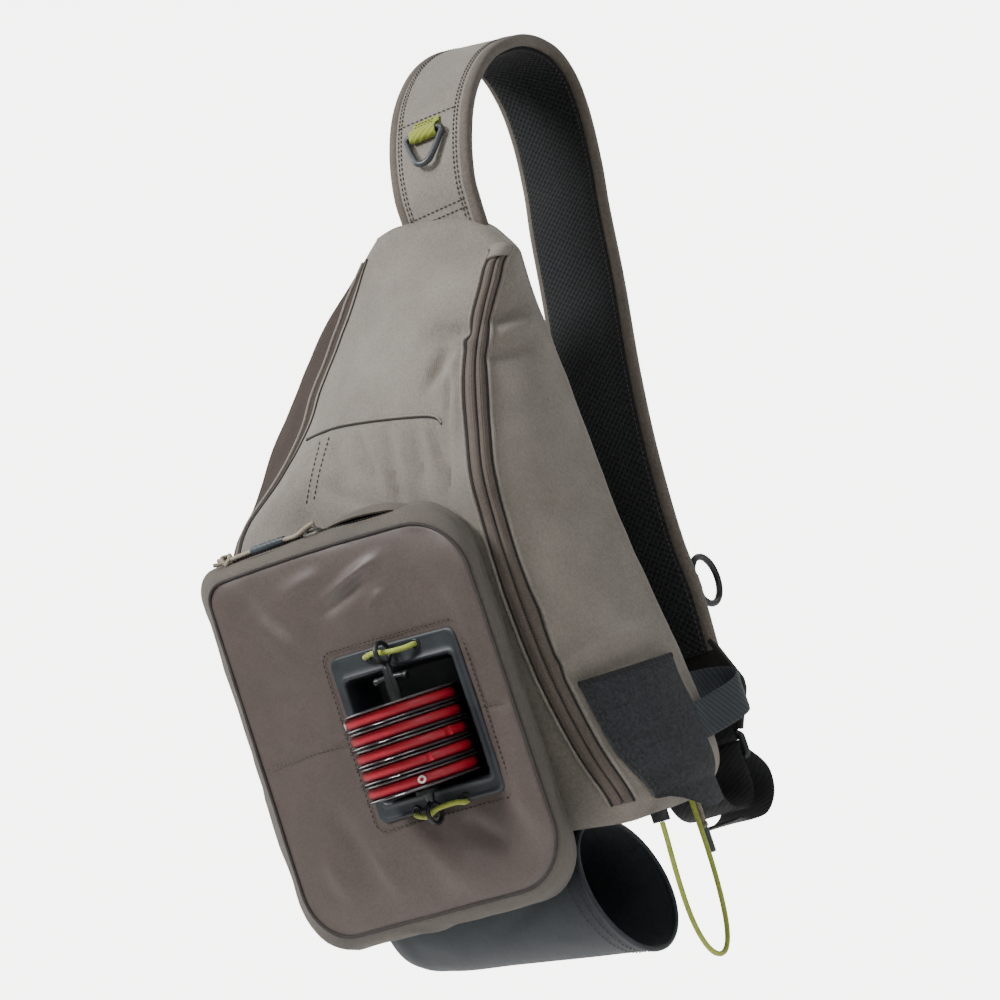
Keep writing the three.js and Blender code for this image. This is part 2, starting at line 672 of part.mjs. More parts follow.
function frontPocket() {
  const mouth = recessBox(DOCK_WALL + SEAT, POCKET_FACE_Y, 8 * CLOTH);
  return toGeometry(pocketWall().subtract(mouth).subtract(pocketZipBox(0)));
}

function pocketZipper() {
  return toGeometry(pocketWall().intersect(pocketZipBox(SEAT)));
}

// A flanged tray let into the pocket's face.
function spoolDock() {
  const flangeBack = POCKET_FACE_Y - SEAT;
  const outline = roundedRect(DOCK_WIDTH, DOCK_HEIGHT, DOCK_CORNER);
  const flange = plate(outline, DOCK_FLANGE, 3);
  flange.rotateX(Math.PI / 2).translate(DOCK_X, flangeBack, DOCK_Z);
  const floorY = flangeBack + DOCK_RECESS;
  const trayDepth = DOCK_RECESS + DOCK_WALL;
  const tray = recessBox(DOCK_WALL, flangeBack + (trayDepth - DOCK_FLANGE) / 2, trayDepth + DOCK_FLANGE);
  const hollowDepth = DOCK_RECESS + 4 * DOCK_FLANGE;
  const hollow = recessBox(0, floorY - hollowDepth / 2, hollowDepth);
  return toGeometry(toManifold(flange).add(tray).subtract(hollow));
}

// Spools on their tether

const SPOOL_Y = POCKET_FACE_Y + DOCK_RECESS - SPOOL_DIAMETER / 2 - SPOOL_SEAT;
const SPOOL_FOOT = RECESS_FOOT + TETHER_STOP;
const SPOOL_PITCH = SPOOL_HEIGHT + SPOOL_GAP;
const SPOOL_SIDES = 24;
const EYE_TOP_Z = DOCK_FOOT + DOCK_HEIGHT - EYE_INSET;
const EYE_FOOT_Z = DOCK_FOOT - EYE_OVERHANG;

function spool(index) {
  const bore = TETHER_DIAMETER / 2 + BORE_CLEARANCE;
  const rim = SPOOL_DIAMETER / 2;
  const band = SPOOL_BAND_DIAMETER / 2;
  const top = SPOOL_HEIGHT;
  const profile = [
    [bore, 0], [rim, 0], [rim, SPOOL_RIM], [band, SPOOL_RIM],
    [band, top - SPOOL_RIM], [rim, top - SPOOL_RIM], [rim, top], [bore, top], [bore, 0],
  ];
  const line = profile.map(([x, y]) => new THREE.Vector2(x, y));
  const geometry = new THREE.LatheGeometry(line, SPOOL_SIDES);
  const z = SPOOL_FOOT + SPOOL_GAP + index * SPOOL_PITCH;
  return toGeometry(toManifold(geometry.rotateX(Math.PI / 2))).translate(DOCK_X, SPOOL_Y, z);
}

function tetherEye(z) {
  const geometry = new THREE.TorusGeometry((TETHER_EYE - TETHER_CORD) / 2, TETHER_CORD / 2, 8, 16);
  return geometry.rotateY(Math.PI / 2).translate(DOCK_X, SPOOL_Y, z);
}

function spoolTether() {
  const at = (x, z) => V(DOCK_X + x, SPOOL_Y, z);
  const eyeEdge = TETHER_EYE / 2 - TETHER_CORD * 0.6;
  const shaftTop = EYE_TOP_Z - eyeEdge;
  const shaftFoot = EYE_FOOT_Z + eyeEdge;
  const shaft = rod(at(0, shaftFoot), at(0, shaftTop), TETHER_DIAMETER / 2, 16);
  const crossZ = shaftTop - TETHER_CROSS_DROP;
  const reach = TETHER_CROSS / 2;
  const cross = rod(at(-reach, crossZ), at(reach, crossZ), TETHER_DIAMETER / 4, 8);
  const stop = rod(at(0, RECESS_FOOT), at(0, SPOOL_FOOT), TETHER_DIAMETER, 16);
  return joined(shaft, cross, stop, tetherEye(EYE_TOP_Z), tetherEye(EYE_FOOT_Z));
}

// A cord that crosses the tether's eye and enters the dock on either side of it.
function toggleCord(z) {
  const faceY = POCKET_FACE_Y - SEAT - DOCK_FLANGE - 2 * SEAT;
  const half = TOGGLE_SPAN / 2;
  const midY = (faceY + SPOOL_Y) / 2 - 1.6;
  const points = [
    [-half, faceY], [-half + 0.6, faceY - 2.4], [-half + 4, midY], [-6, SPOOL_Y], [0, SPOOL_Y],
    [6, SPOOL_Y], [half - 4, midY], [half - 0.6, faceY - 2.4], [half, faceY],
  ];
  return cordGeometry(points.map(([x, y]) => [DOCK_X + x, y, z]), TOGGLE_CORD, 16);
}

// Zip sliders and pulls

function pocketSlider() {
  const geometry = plate(roundedRect(SLIDER_LENGTH, SLIDER_WIDTH, 2.5), SLIDER_HEIGHT, 3);
  geometry.translate(0, 0, SEAT).rotateX(GUSSET_SLOPE);
  return geometry.translate(SLIDER_X, POCKET_ZIP_Y, POCKET_ZIP_Z);
}

// A pull: a cord in two runs with a grip tube over it and a knot, along a line.
// The places of the grip and the knot are shares of the line's length.
function pull(at, grip, knot) {
  const cord = rod(at(0), at(knot), PULL_CORD / 2, 8);
  const tube = rod(at(grip[0]), at(grip[1]), PULL_DIAMETER / 2, 8);
  const ball = new THREE.SphereGeometry(PULL_KNOT / 2, 10, 6).translate(...at(knot).toArray());
  return joined(cord, tube, ball);
}

// The pocket's pull lies along the pocket's top, on the side of its slider.
function pocketPull() {
  const z = POCKET_ZIP_Z + (PULL_KNOT / 2 + SEAT) / Math.cos(GUSSET_SLOPE);
  const start = SLIDER_X - SLIDER_LENGTH / 2 - SEAT;
  return pull((share) => V(start - POCKET_PULL_LENGTH * share, POCKET_ZIP_Y, z), [0.24, 0.6], 0.96);
}

// The main zip's pull hangs from the foot of the pack's back corner.
function mainPull() {
  const x = RIGHT_REACH * BODY_ROWS[0].right - MAIN_PULL_INSET;
  const top = FOOT_SLOPE * (FOOT_X - x) - 2 * SEAT;
  const at = (share) => V(x, -MAIN_PULL_INSET, top - MAIN_PULL_LENGTH * share);
  return pull(at, [0.56, 1], 0.52);
}

// Fly patch, side loop and the sleeve's tab

// One row for each level of the patch: the pack's row, and where its front edge lies as a
// share of the pack's first column on that side. Then how far its hem drops, front to back.
const PATCH_ROWS = [
  { row: 3, first: 0.25 },
  { row: 2.5, first: 0.25 },
  { row: 2, first: 0.25 },
  { row: 1.5, first: 0.5 },
  { row: 1, first: 0.85 },
];
const PATCH_LAST = SIDE_STEPS[2] - 0.2;
const PATCH_HEMS = [0.1, 0.15, 0.35, 0.65, 0.95, 1, 0.9];

function patchLayer(offset) {
  const grid = PATCH_ROWS.map(({ row, first }) => {
    const columns = [first, ...range(1, SIDE_STEPS[2] - 1, SIDE_STEPS[2] - 2), PATCH_LAST];
    return columns.map((c) => offBody(row, RIGHT_COLUMN + c, offset));
  });
  const drop = (p, i) => p.clone().add(V(0, 0, -PATCH_HEM * PATCH_HEMS[i]));
  return [...grid, grid.at(-1).map(drop)];
}

function flyPatch() {
  return sheetSolid(patchLayer(2 * SEAT), patchLayer(2 * SEAT + PATCH_THICK));
}

function sideLoop() {
  const line = SIDE_LOOP_ROWS.map(({ out, back }) => (
    [RIGHT_REACH + SIDE_LOOP_OUT * out, SIDE_LOOP_BACK * back, SIDE_LOOP_Z]
  ));
  return webbingBand(line, SIDE_LOOP_HEIGHT, WEBBING, 20, V(0, 0, 1));
}

function cordTab() {
  const [x, y, z] = SLEEVE_CORD_POINTS[0];
  const foot = z + SEAT;
  const hem = patchLayer(0).pop();
  const height = hem[2].z - SEAT - foot;
  return placedBox(x, y, foot + height / 2, CORD_TAB_WIDTH, CORD_TAB_THICK, height);
}

function sleeveCord() {
  return cordGeometry(SLEEVE_CORD_POINTS, SLEEVE_CORD, 44);
}

// Bottle sleeve: a cup of cloth on its side, closed on the left, open on the right.
function sleeveRing(row, inset) {
  const radius = SLEEVE_DIAMETER / 2;
  const sleeveY = radius + SLEEVE_SETBACK - BODY_DEPTH;
  const startX = SLEEVE_MOUTH_X - SLEEVE_LENGTH;
  const ring = [];
  for (let i = 0; i < SLEEVE_SIDES; i += 1) {
    const angle = (2 * Math.PI * i) / SLEEVE_SIDES;
    const up = (radius * row.tall - inset) * Math.sin(angle);
    const out = (radius * row.deep - inset) * Math.cos(angle);
    const slant = -MOUTH_SLANT * (up + radius) * row.along;
    const x = startX + inset * (1 - row.along) + SLEEVE_LENGTH * row.along + slant;
    const middle = FOOT_SLOPE * (FOOT_X - x) - radius - SEAT;
    ring.push(V(x, sleeveY + out, middle + up));
  }
  return ring;
}

function bottleSleeve() {
  const outer = SLEEVE_ROWS.map((row) => sleeveRing(row, 0));
  const inner = SLEEVE_ROWS.map((row) => sleeveRing(row, CLOTH)).reverse();
  return loft([...outer, ...inner]);
}

// Shoulder strap

const STRAP_LINE = STRAP_ROWS.map(({ x, y, z }) => (
  V(RIGHT_REACH * x, STRAP_REACH * y, BODY_HEIGHT * z)
));
const STRAP_CURVE = new THREE.CatmullRomCurve3(STRAP_LINE, false, 'centripetal');

function strapColumn(name, share) {
  const place = share * (STRAP_ROWS.length - 1);
  const i = Math.min(Math.floor(place), STRAP_ROWS.length - 2);
  return THREE.MathUtils.lerp(STRAP_ROWS[i][name], STRAP_ROWS[i + 1][name], place - i);
}

function strapFrame(share) {
  const width = STRAP_WIDTH * strapColumn('width', share);
  const lift = STRAP_WIDTH * strapColumn('lift', share);
  return { ...bandFrame(STRAP_CURVE, share, lift, width), width };
}

// A layer of the strap: rings of corners, each given by its place across and out of the line.
function strapLayer(firstStep, corners) {
  const rings = range(firstStep, STRAP_STEPS, STRAP_STEPS - firstStep).map((step) => {
    const { centre, across, out, width } = strapFrame(step / STRAP_STEPS);
    const place = (a, b) => centre.clone().addScaledVector(across, a).addScaledVector(out, b);
    return corners(width / 2).map(([a, b]) => place(a, b));
  });
  return loft(rings);
}

// The middle line lies between the outer shell and the lining; out points away from the wearer.
const SHELL_IN = (LINING_THICK - STRAP_SHELL) / 2;
const SHELL_OUT = SHELL_IN + STRAP_SHELL;
const SHELL_ROUND = 3;
const LINING_ROUND = 1.6;

function shoulderStrap() {
  const low = SHELL_IN + SHELL_ROUND / 2;
  const high = SHELL_OUT - SHELL_ROUND / 2;
  return strapLayer(0, (half) => [
    [SHELL_ROUND - half, SHELL_IN], [LINING_MARGIN - half, SHELL_IN], [half - LINING_MARGIN, SHELL_IN],
    [half - SHELL_ROUND, SHELL_IN], [half, low], [half, high], [half - SHELL_ROUND, SHELL_OUT],
    [SHELL_ROUND - half, SHELL_OUT], [-half, high], [-half, low],
  ]);
}

// Its corners on the shell are the shell's own, so that the two faces stay one seat apart.
function strapLining() {
  const top = SHELL_IN - SEAT;
  const foot = top - LINING_THICK;
  return strapLayer(1, (half) => {
    const edge = half - LINING_MARGIN;
    return [
      [-edge, top], [edge, top], [edge, foot + LINING_ROUND / 2],
      [edge - LINING_ROUND, foot], [LINING_ROUND - edge, foot], [-edge, foot + LINING_ROUND / 2],
    ];
  });
}

// A matrix that puts a shape drawn in X and Y flat on the strap's outer face.
function onStrap(share, height) {
  const { centre, along, across, out } = strapFrame(share);
  const place = centre.addScaledVector(out, SHELL_OUT + height);
  return new THREE.Matrix4().makeBasis(across, along, out).setPosition(place);
}

// A rounded triangle with its straight bar at the top.
function dOutline(target, half, top, foot) {
  target.moveTo(half, top);
  target.lineTo(-half, top);
  target.lineTo(-half * 0.4, foot * 0.78);
  target.quadraticCurveTo(0, foot * 1.22, half * 0.4, foot * 0.78);
  target.lineTo(half, top);
  return target;
}

function dRing() {
  const shape = dOutline(new THREE.Shape(), D_RING_WIDTH / 2, 0, -D_RING_HEIGHT);
  const innerHalf = D_RING_WIDTH / 2 - 1.5 * D_RING_ROD;
  shape.holes.push(dOutline(new THREE.Path(), innerHalf, -D_RING_ROD, D_RING_ROD - D_RING_HEIGHT));
  return plate(shape, D_RING_THICK, 8).applyMatrix4(onStrap(D_RING_SHARE, D_RING_STAND));
}

// A fold of webbing round the straight bar of the ring.
function dRingTab() {
  const over = D_RING_STAND + D_RING_THICK + D_TAB_LOOSE;
  const under = SEAT + D_TAB_WALL;
  const foot = -D_RING_ROD - D_TAB_LOOSE;
  const shape = new THREE.Shape();
  shape.moveTo(foot - D_TAB_WALL, SEAT);
  shape.lineTo(D_TAB_REACH, SEAT);
  shape.lineTo(D_TAB_REACH, under + D_TAB_WALL);
  shape.lineTo(D_TAB_REACH / 2, over + D_TAB_WALL);
  shape.lineTo(foot, over + D_TAB_WALL);
  shape.lineTo(foot - D_TAB_WALL, over);
  const hole = new THREE.Path();
  hole.moveTo(foot, under);
  hole.lineTo(foot, over);
  hole.lineTo(D_TAB_LOOSE, over);
  hole.lineTo(D_TAB_LOOSE, under);
  shape.holes.push(hole);
  const geometry = plate(shape, D_TAB_WIDTH);
  geometry.translate(0, 0, -D_TAB_WIDTH / 2).rotateZ(Math.PI / 2).rotateY(Math.PI / 2);
  return geometry.applyMatrix4(onStrap(D_RING_SHARE, 0));
}

function strapOuterY(z) {
  const share = range(0.6, 1, 400).reduce((best, s) => {
    const off = (t) => Math.abs(STRAP_CURVE.getPoint(t).z - z);
    return off(s) < off(best) ? s : best;
  });
  return STRAP_CURVE.getPoint(share).y + SHELL_OUT;
}

const NET_TAB_INNER = NET_RING_ROD + 2 * NET_TAB_LOOSE;
const NET_TAB_OUTER = NET_TAB_INNER + 2 * NET_TAB_WALL;
const NET_TAB_Y = strapOuterY(NET_RING_Z) + NET_TAB_STAND;

function netRing() {
  const radius = (NET_RING_DIAMETER - NET_RING_ROD) / 2;
  const geometry = new THREE.TorusGeometry(radius, NET_RING_ROD / 2, 8, 24);
  geometry.rotateY(Math.PI / 2);
  return geometry.translate(NET_RING_X, NET_TAB_Y + NET_TAB_OUTER / 2 + radius, NET_RING_Z);
}

function netRingTab() {
  const shape = roundedRect(NET_TAB_OUTER, NET_TAB_OUTER, 2);
  shape.holes.push(roundedRect(NET_TAB_INNER, NET_TAB_INNER, 1.5));
  const geometry = plate(shape, NET_TAB_HEIGHT, 3);
  return geometry.translate(NET_RING_X, NET_TAB_Y + NET_TAB_OUTER / 2, NET_RING_Z - NET_TAB_HEIGHT / 2);
}

// The strap's cloth end, which flares to a corner and narrows to the adjuster. One row for
// each level: how far down it is as a share of WING_LENGTH, and how much it flares.
const WING_ROWS = [
  { down: 0, flare: 0 },
  { down: 0.42, flare: 7 },
  { down: 0.52, flare: 6 },
];

function strapWing() {
  const end = STRAP_LINE.at(-1);
  const half = (STRAP_WIDTH * STRAP_ROWS.at(-1).width) / 2;
  const narrow = LOWER_WEBBING_WIDTH / 2 + WING_MARGIN;
  const rows = [...WING_ROWS, { down: 1, flare: narrow - half }];
  const rings = rows.map((row) => {
    const x = end.x + WING_SHIFT * row.down;
    const y = end.y - WING_LEAN * row.down;
    const z = end.z - WING_SEAT - WING_LENGTH * row.down;
    const a = half + row.flare;
    const b = WING_THICK / 2;
    return [V(x - a, y - b, z), V(x + a, y - b, z), V(x + a, y + b, z), V(x - a, y + b, z)];
  });
  return loft(rings);
}

const WING_FOOT = STRAP_LINE.at(-1).z - WING_SEAT - WING_LENGTH;
const ADJUSTER_TOP = WING_FOOT - SEAT;
const WEBBING_TOP = ADJUSTER_TOP - ADJUSTER_HEIGHT - ADJUSTER_SEAT;

function webbingPoint({ x, y, hang, drop }) {
  return [RIGHT_REACH * x, STRAP_REACH * y, WEBBING_TOP * hang - WEBBING_DROP * drop];
}

// A plate with two slots, one on each side of its middle bar.
function strapAdjuster() {
  const shape = roundedRect(LOWER_WEBBING_WIDTH + 8, ADJUSTER_HEIGHT, 3);
  for (const side of [-1, 1]) {
    const centre = (side * (ADJUSTER_BAR + ADJUSTER_SLOT)) / 2;
    const slot = roundedRect(LOWER_WEBBING_WIDTH, ADJUSTER_SLOT, 1).getPoints(2);
    shape.holes.push(new THREE.Path(slot.map((p) => new THREE.Vector2(p.x, p.y + centre))));
  }
  const [x, y] = webbingPoint(LOWER_WEBBING_ROWS[0]);
  const z = ADJUSTER_TOP - ADJUSTER_HEIGHT / 2;
  return plate(shape, ADJUSTER_THICK).rotateX(Math.PI / 2).translate(x, y + ADJUSTER_THICK / 2, z);
}

function lowerWebbing() {
  return webbingBand(LOWER_WEBBING_ROWS.map(webbingPoint), LOWER_WEBBING_WIDTH, WEBBING, 20);
}

function webbingTail() {
  return webbingBand(WEBBING_TAIL_ROWS.map(webbingPoint), LOWER_WEBBING_WIDTH, WEBBING, 18);
}

// A patch of cloth on the pack's back, where the lower webbing is sewn on.
function webbingAnchor() {
  const [x] = webbingPoint(LOWER_WEBBING_ROWS.at(-1));
  const half = LOWER_WEBBING_WIDTH / 2 + 3;
  const foot = -3;
  const top = ANCHOR_HEIGHT + foot;
  const shape = new THREE.Shape();
  shape.moveTo(-half, foot);
  shape.lineTo(half - 6, foot);
  shape.lineTo(half - 8, top);
  shape.lineTo(-half * 0.6, top);
  return plate(shape, CLOTH).rotateX(Math.PI / 2).translate(x, CLOTH + SEAT, 0);
}

// The whole bag

const bag = new THREE.Group();
const pieces = new THREE.Group();
bag.add(pieces);

function add(name, geometry, material) {
  const mesh = new THREE.Mesh(geometry, material);
  mesh.name = name;
  pieces.add(mesh);
}

add('body_shell', bodyShell(), TAUPE_NYLON);
add('main_zipper', mainZipper(), ZIP_COIL);
add('zip_garage', zipGarage(), TAUPE_NYLON);
add('back_pad', backPad(), BLACK_MESH);
add('front_pocket', frontPocket(), COATED_NYLON);
add('pocket_zipper', pocketZipper(), ZIP_COIL);
add('pocket_zip_slider', pocketSlider(), GREY_PLASTIC);
add('pocket_zip_pull', pocketPull(), PALE_CORD);
add('main_zip_pull', mainPull(), PALE_CORD);
add('spool_dock', spoolDock(), DOCK_RUBBER);
add('spool_tether', spoolTether(), BLACK_RUBBER);
add('toggle_cord_top', toggleCord(EYE_TOP_Z), GREEN_CORD);
add('toggle_cord_foot', toggleCord(EYE_FOOT_Z), GREEN_CORD);
for (let i = 0; i < SPOOL_COUNT; i += 1) {
  add(`spool_${i + 1}`, spool(i), RED_PLASTIC);
}
add('fly_patch', flyPatch(), WOOL_FELT);
add('side_loop', sideLoop(), SLATE_WEBBING);
add('bottle_sleeve', bottleSleeve(), SLATE_NYLON);
add('sleeve_cord_tab', cordTab(), BLACK_WEBBING);
add('sleeve_cord', sleeveCord(), GREEN_CORD);
add('shoulder_strap', shoulderStrap(), TAUPE_NYLON);
add('strap_lining', strapLining(), BLACK_MESH);
add('d_ring', dRing(), GREY_PLASTIC);
add('d_ring_tab', dRingTab(), GREEN_CORD);
add('net_ring', netRing(), BLACK_RUBBER);
add('net_ring_tab', netRingTab(), BLACK_WEBBING);
add('strap_wing', strapWing(), TAUPE_NYLON);
add('strap_adjuster', strapAdjuster(), BLACK_RUBBER);
add('lower_webbing', lowerWebbing(), BLACK_WEBBING);
add('webbing_tail', webbingTail(), BLACK_WEBBING);
add('webbing_anchor', webbingAnchor(), TAUPE_NYLON);

const arch = strapFrame(ARCH_SHARE);
const hang = arch.centre.clone().addScaledVector(arch.out, SHELL_IN - SEAT - LINING_THICK);
pieces.position.copy(hang).negate();

export default bag;
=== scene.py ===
# %% [markdown]
# # A fishing tackle sling bag
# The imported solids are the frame, and this file dresses them. Each cloth, webbing, cord and
# moulding is a surface worked out with numpy, in the bag's own millimetres, and is then placed
# in the frame. The bag hangs from the arch of its shoulder strap, so that point is the origin.

import bpy
import numpy as np
from mathutils import Matrix


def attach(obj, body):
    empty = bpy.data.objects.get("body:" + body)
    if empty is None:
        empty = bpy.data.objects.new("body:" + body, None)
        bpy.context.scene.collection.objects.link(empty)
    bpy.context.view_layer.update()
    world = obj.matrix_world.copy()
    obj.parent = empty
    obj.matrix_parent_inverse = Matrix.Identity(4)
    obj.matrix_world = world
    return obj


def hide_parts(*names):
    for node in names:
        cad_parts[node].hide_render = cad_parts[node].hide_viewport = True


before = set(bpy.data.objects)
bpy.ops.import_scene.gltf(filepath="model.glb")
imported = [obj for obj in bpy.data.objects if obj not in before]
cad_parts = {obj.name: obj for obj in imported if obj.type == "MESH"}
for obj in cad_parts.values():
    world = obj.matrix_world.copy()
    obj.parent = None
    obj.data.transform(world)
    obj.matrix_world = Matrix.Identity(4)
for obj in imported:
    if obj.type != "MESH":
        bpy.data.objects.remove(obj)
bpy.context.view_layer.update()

# The bag's millimetres start at the foot of its right side seam, on the plane of its back.
HANG = np.array([30.616, 122.384, 520.901])


def place(points):
    """Bag millimetres to frame metres: take off the hanging point and divide by a thousand."""
    return (np.asarray(points, float) - HANG) / 1000.0


# %% [markdown]
# ## Camera
# The photograph looks at the bag from its right and a little from below, and the bag leans in
# the picture. The camera keeps the bag upright and rolls instead.

# %% Camera
TURN, RISE, ROLL = np.radians([33.0, 4.94, 18.5])
AIM = np.array([-0.00662, -0.16938, -0.30990])
DISTANCE = 1.357

back = np.array([np.sin(TURN) * np.cos(RISE), -np.cos(TURN) * np.cos(RISE), -np.sin(RISE)])
side = np.array([np.cos(TURN), np.sin(TURN), 0.0])
up = np.cross(side, -back)
right = side * np.cos(ROLL) - up * np.sin(ROLL)
top = side * np.sin(ROLL) + up * np.cos(ROLL)
axes = np.eye(4)
axes[:3, 0], axes[:3, 1], axes[:3, 2], axes[:3, 3] = right, top, back, AIM + back * DISTANCE

camera = bpy.data.objects.new("camera", bpy.data.cameras.new("camera"))
camera.data.sensor_width = 36.0
camera.data.lens = 77.0
camera.data.clip_start = 0.05
camera.data.clip_end = 60.0
camera.matrix_world = Matrix(axes.tolist())
bpy.context.scene.collection.objects.link(camera)
bpy.context.scene.camera = camera
print("camera at", np.round(axes[:3, 3], 3))

# %% [markdown]
# ## Curves and grids
# Every shape below is a grid of points. A smooth curve goes through a few chosen points, a
# section is carried along it, and the rows of the grid are joined into faces all at once.


# %% Smooth curves
def smooth(x, y, at):
    """Cubic pieces through (x, y): each slope is the neighbours' mean slope, weighted by gap."""
    slope = np.gradient(y, x, axis=0)
    i = np.clip(np.searchsorted(x, at, side="right") - 1, 0, len(x) - 2)
    h = (x[i + 1] - x[i])[:, None]
    t = (at - x[i])[:, None] / h
    start = (2 * t**3 - 3 * t**2 + 1) * y[i] + (t**3 - 2 * t**2 + t) * h * slope[i]
    end = (3 * t**2 - 2 * t**3) * y[i + 1] + (t**3 - t**2) * h * slope[i + 1]
    return start + end


def unit(v):
    """Each vector divided by its length."""
    return v / np.maximum(np.linalg.norm(v, axis=-1, keepdims=True), 1e-9)


def lengths(path):
    """How far along the path each point lies."""
    return np.r_[0, np.cumsum(np.linalg.norm(np.diff(path, axis=0), axis=1))]


def curve(points, count):
    """A smooth line through chosen points, with its points evenly spaced along it."""
    points = np.asarray(points, float)
    x = np.r_[0, np.cumsum(np.linalg.norm(np.diff(points[:, :3], axis=0), axis=1) ** 0.5)]
    dense = smooth(x, points, np.linspace(0, x[-1], count * 6))
    far = lengths(dense[:, :3])
    even = np.linspace(0, far[-1], count)
    return np.stack([np.interp(even, far, column) for column in dense.T], axis=1)


def frames(path, reference):
    """Along, side and out vectors at each point: side = along x reference, out = side x along."""
    along = unit(np.gradient(path, axis=0))
    side = unit(np.cross(along, np.broadcast_to(reference, path.shape)))
    return along, side, np.cross(side, along)


# %% Grids to faces
NO_TRIS, NO_UV = np.zeros((0, 3), int), np.zeros((0, 3, 2))


def outward(points, quads, tris, quad_uv, tri_uv):
    """Turns every face round if the closed shape's signed volume is negative."""
    a, b, c, d = (points[quads[:, i]] for i in range(4))
    volume = np.einsum("ij,ij->", a, np.cross(b, c)) + np.einsum("ij,ij->", a, np.cross(c, d))
    if len(tris):
        a, b, c = (points[tris[:, i]] for i in range(3))
        volume += np.einsum("ij,ij->", a, np.cross(b, c))
    if volume < 0:
        quads, quad_uv = quads[:, ::-1], quad_uv[:, ::-1]
        tris, tri_uv = tris[:, ::-1], tri_uv[:, ::-1]
    return points, quads, tris, quad_uv, tri_uv


def grid_uv(grid, wrap):
    """Cloth coordinates in metres: the way round each row, and the mean way along the rows."""
    closed = np.concatenate([grid, grid[:, :1]], axis=1) if wrap else grid
    steps = np.linalg.norm(np.diff(closed, axis=1), axis=2)
    around = np.concatenate([np.zeros((len(grid), 1)), np.cumsum(steps, axis=1)], axis=1)
    along = np.r_[0, np.cumsum(np.linalg.norm(np.diff(grid, axis=0), axis=2).mean(axis=1))]
    return np.stack([around, np.broadcast_to(along[:, None], around.shape)], axis=-1) / 1000.0


def skin(grid, ring=False, uv=None):
    """A closed shape from rows that are closed loops of points. With ring the last row joins
    the first, and otherwise a fan from the middle of each end row closes it."""
    rows, columns = grid.shape[:2]
    if ring:
        grid = np.concatenate([grid, grid[:1]])
    uv = grid_uv(grid, True) if uv is None else uv
    r = np.arange(len(grid) - 1)[:, None]
    c = np.arange(columns)[None, :]
    corners = [(r, c), (r, c + 1), (r + 1, c + 1), (r + 1, c)]
    quads = np.stack([(i % rows) * columns + j % columns for i, j in corners], -1).reshape(-1, 4)
    quad_uv = np.stack([uv[i, j] for i, j in corners], -2).reshape(-1, 4, 2)
    points = grid[:rows].reshape(-1, 3)
    tris, tri_uv = NO_TRIS, NO_UV
    if not ring:
        middles = np.stack([grid[0].mean(axis=0), grid[-1].mean(axis=0)])
        c = np.arange(columns)
        after = (c + 1) % columns
        last = (rows - 1) * columns
        first_fan = np.stack([after, c, np.full(columns, len(points))], -1)
        last_fan = np.stack([last + c, last + after, np.full(columns, len(points) + 1)], -1)
        tris = np.concatenate([first_fan, last_fan])
        ends = [np.stack([uv[e, c + 1], uv[e, c], uv[e, c]], 1) for e in (0, -1)]
        tri_uv = np.concatenate(ends)
        points = np.concatenate([points, middles])
    return outward(points, quads, tris, quad_uv, tri_uv)


def normals(grid):
    """The direction across a sheet: the way along its columns x the way along its rows."""
    return unit(np.cross(np.gradient(grid, axis=1), np.gradient(grid, axis=0)))


def slab(grid, thickness, out=None, uv=None):
    """A sheet with a real thickness: the grid, a copy moved by its thickness, and a rim."""
    rows, columns = grid.shape[:2]
    out = normals(grid) if out is None else out
    low = grid - out * thickness
    uv = grid_uv(grid, False) if uv is None else uv
    both = np.concatenate([grid, low[:, ::-1]], axis=1)
    uv = np.concatenate([uv, uv[:, ::-1], uv[:, :1]], axis=1)
    wide = 2 * columns
    r = np.arange(rows - 1)[:, None]
    c = np.arange(wide)[None, :]
    corners = [(r, c), (r, c + 1), (r + 1, c + 1), (r + 1, c)]
    quads = np.stack([i * wide + j % wide for i, j in corners], -1).reshape(-1, 4)
    quad_uv = np.stack([uv[i, j] for i, j in corners], -2).reshape(-1, 4, 2)
    c = np.arange(columns - 1)
    strip = np.stack([c + 1, c, wide - 1 - c, wide - 2 - c], -1)
    end = (rows - 1) * wide + strip[:, ::-1]
    quads = np.concatenate([quads, strip, end])
    quad_uv = np.concatenate([quad_uv, uv[0, strip], uv[-1, strip[:, ::-1]]])
    return outward(both.reshape(-1, 3), quads, NO_TRIS, quad_uv, NO_UV)


def merged(*parts):
    """Several shapes as one list of points and faces."""
    offsets = np.cumsum([0] + [len(part[0]) for part in parts])
    quads = [part[1] + offset for part, offset in zip(parts, offsets)]
    tris = [part[2] + offset for part, offset in zip(parts, offsets)]
    columns = [[part[i] for part in parts] for i in (0, 3, 4)]
    points, quad_uv, tri_uv = (np.concatenate(column) for column in columns)
    return points, np.concatenate(quads), np.concatenate(tris), quad_uv, tri_uv


# %% Sections carried along a line
def tube(path, radius, reference, sides=12, ring=False):
    """A round section on each point of a line: point = line + r (cos a side + sin a out)."""
    _, across, out = frames(path, reference)
    if ring:
        along = unit(np.roll(path, -1, axis=0) - np.roll(path, 1, axis=0))
        across = unit(np.cross(along, np.broadcast_to(reference, path.shape)))
        out = np.cross(across, along)
    a = np.linspace(0, 2 * np.pi, sides, endpoint=False)[None, :, None]
    radius = np.broadcast_to(radius, len(path))[:, None, None]
    section = np.cos(a) * across[:, None] + np.sin(a) * out[:, None]
    return skin(path[:, None] + radius * section, ring)


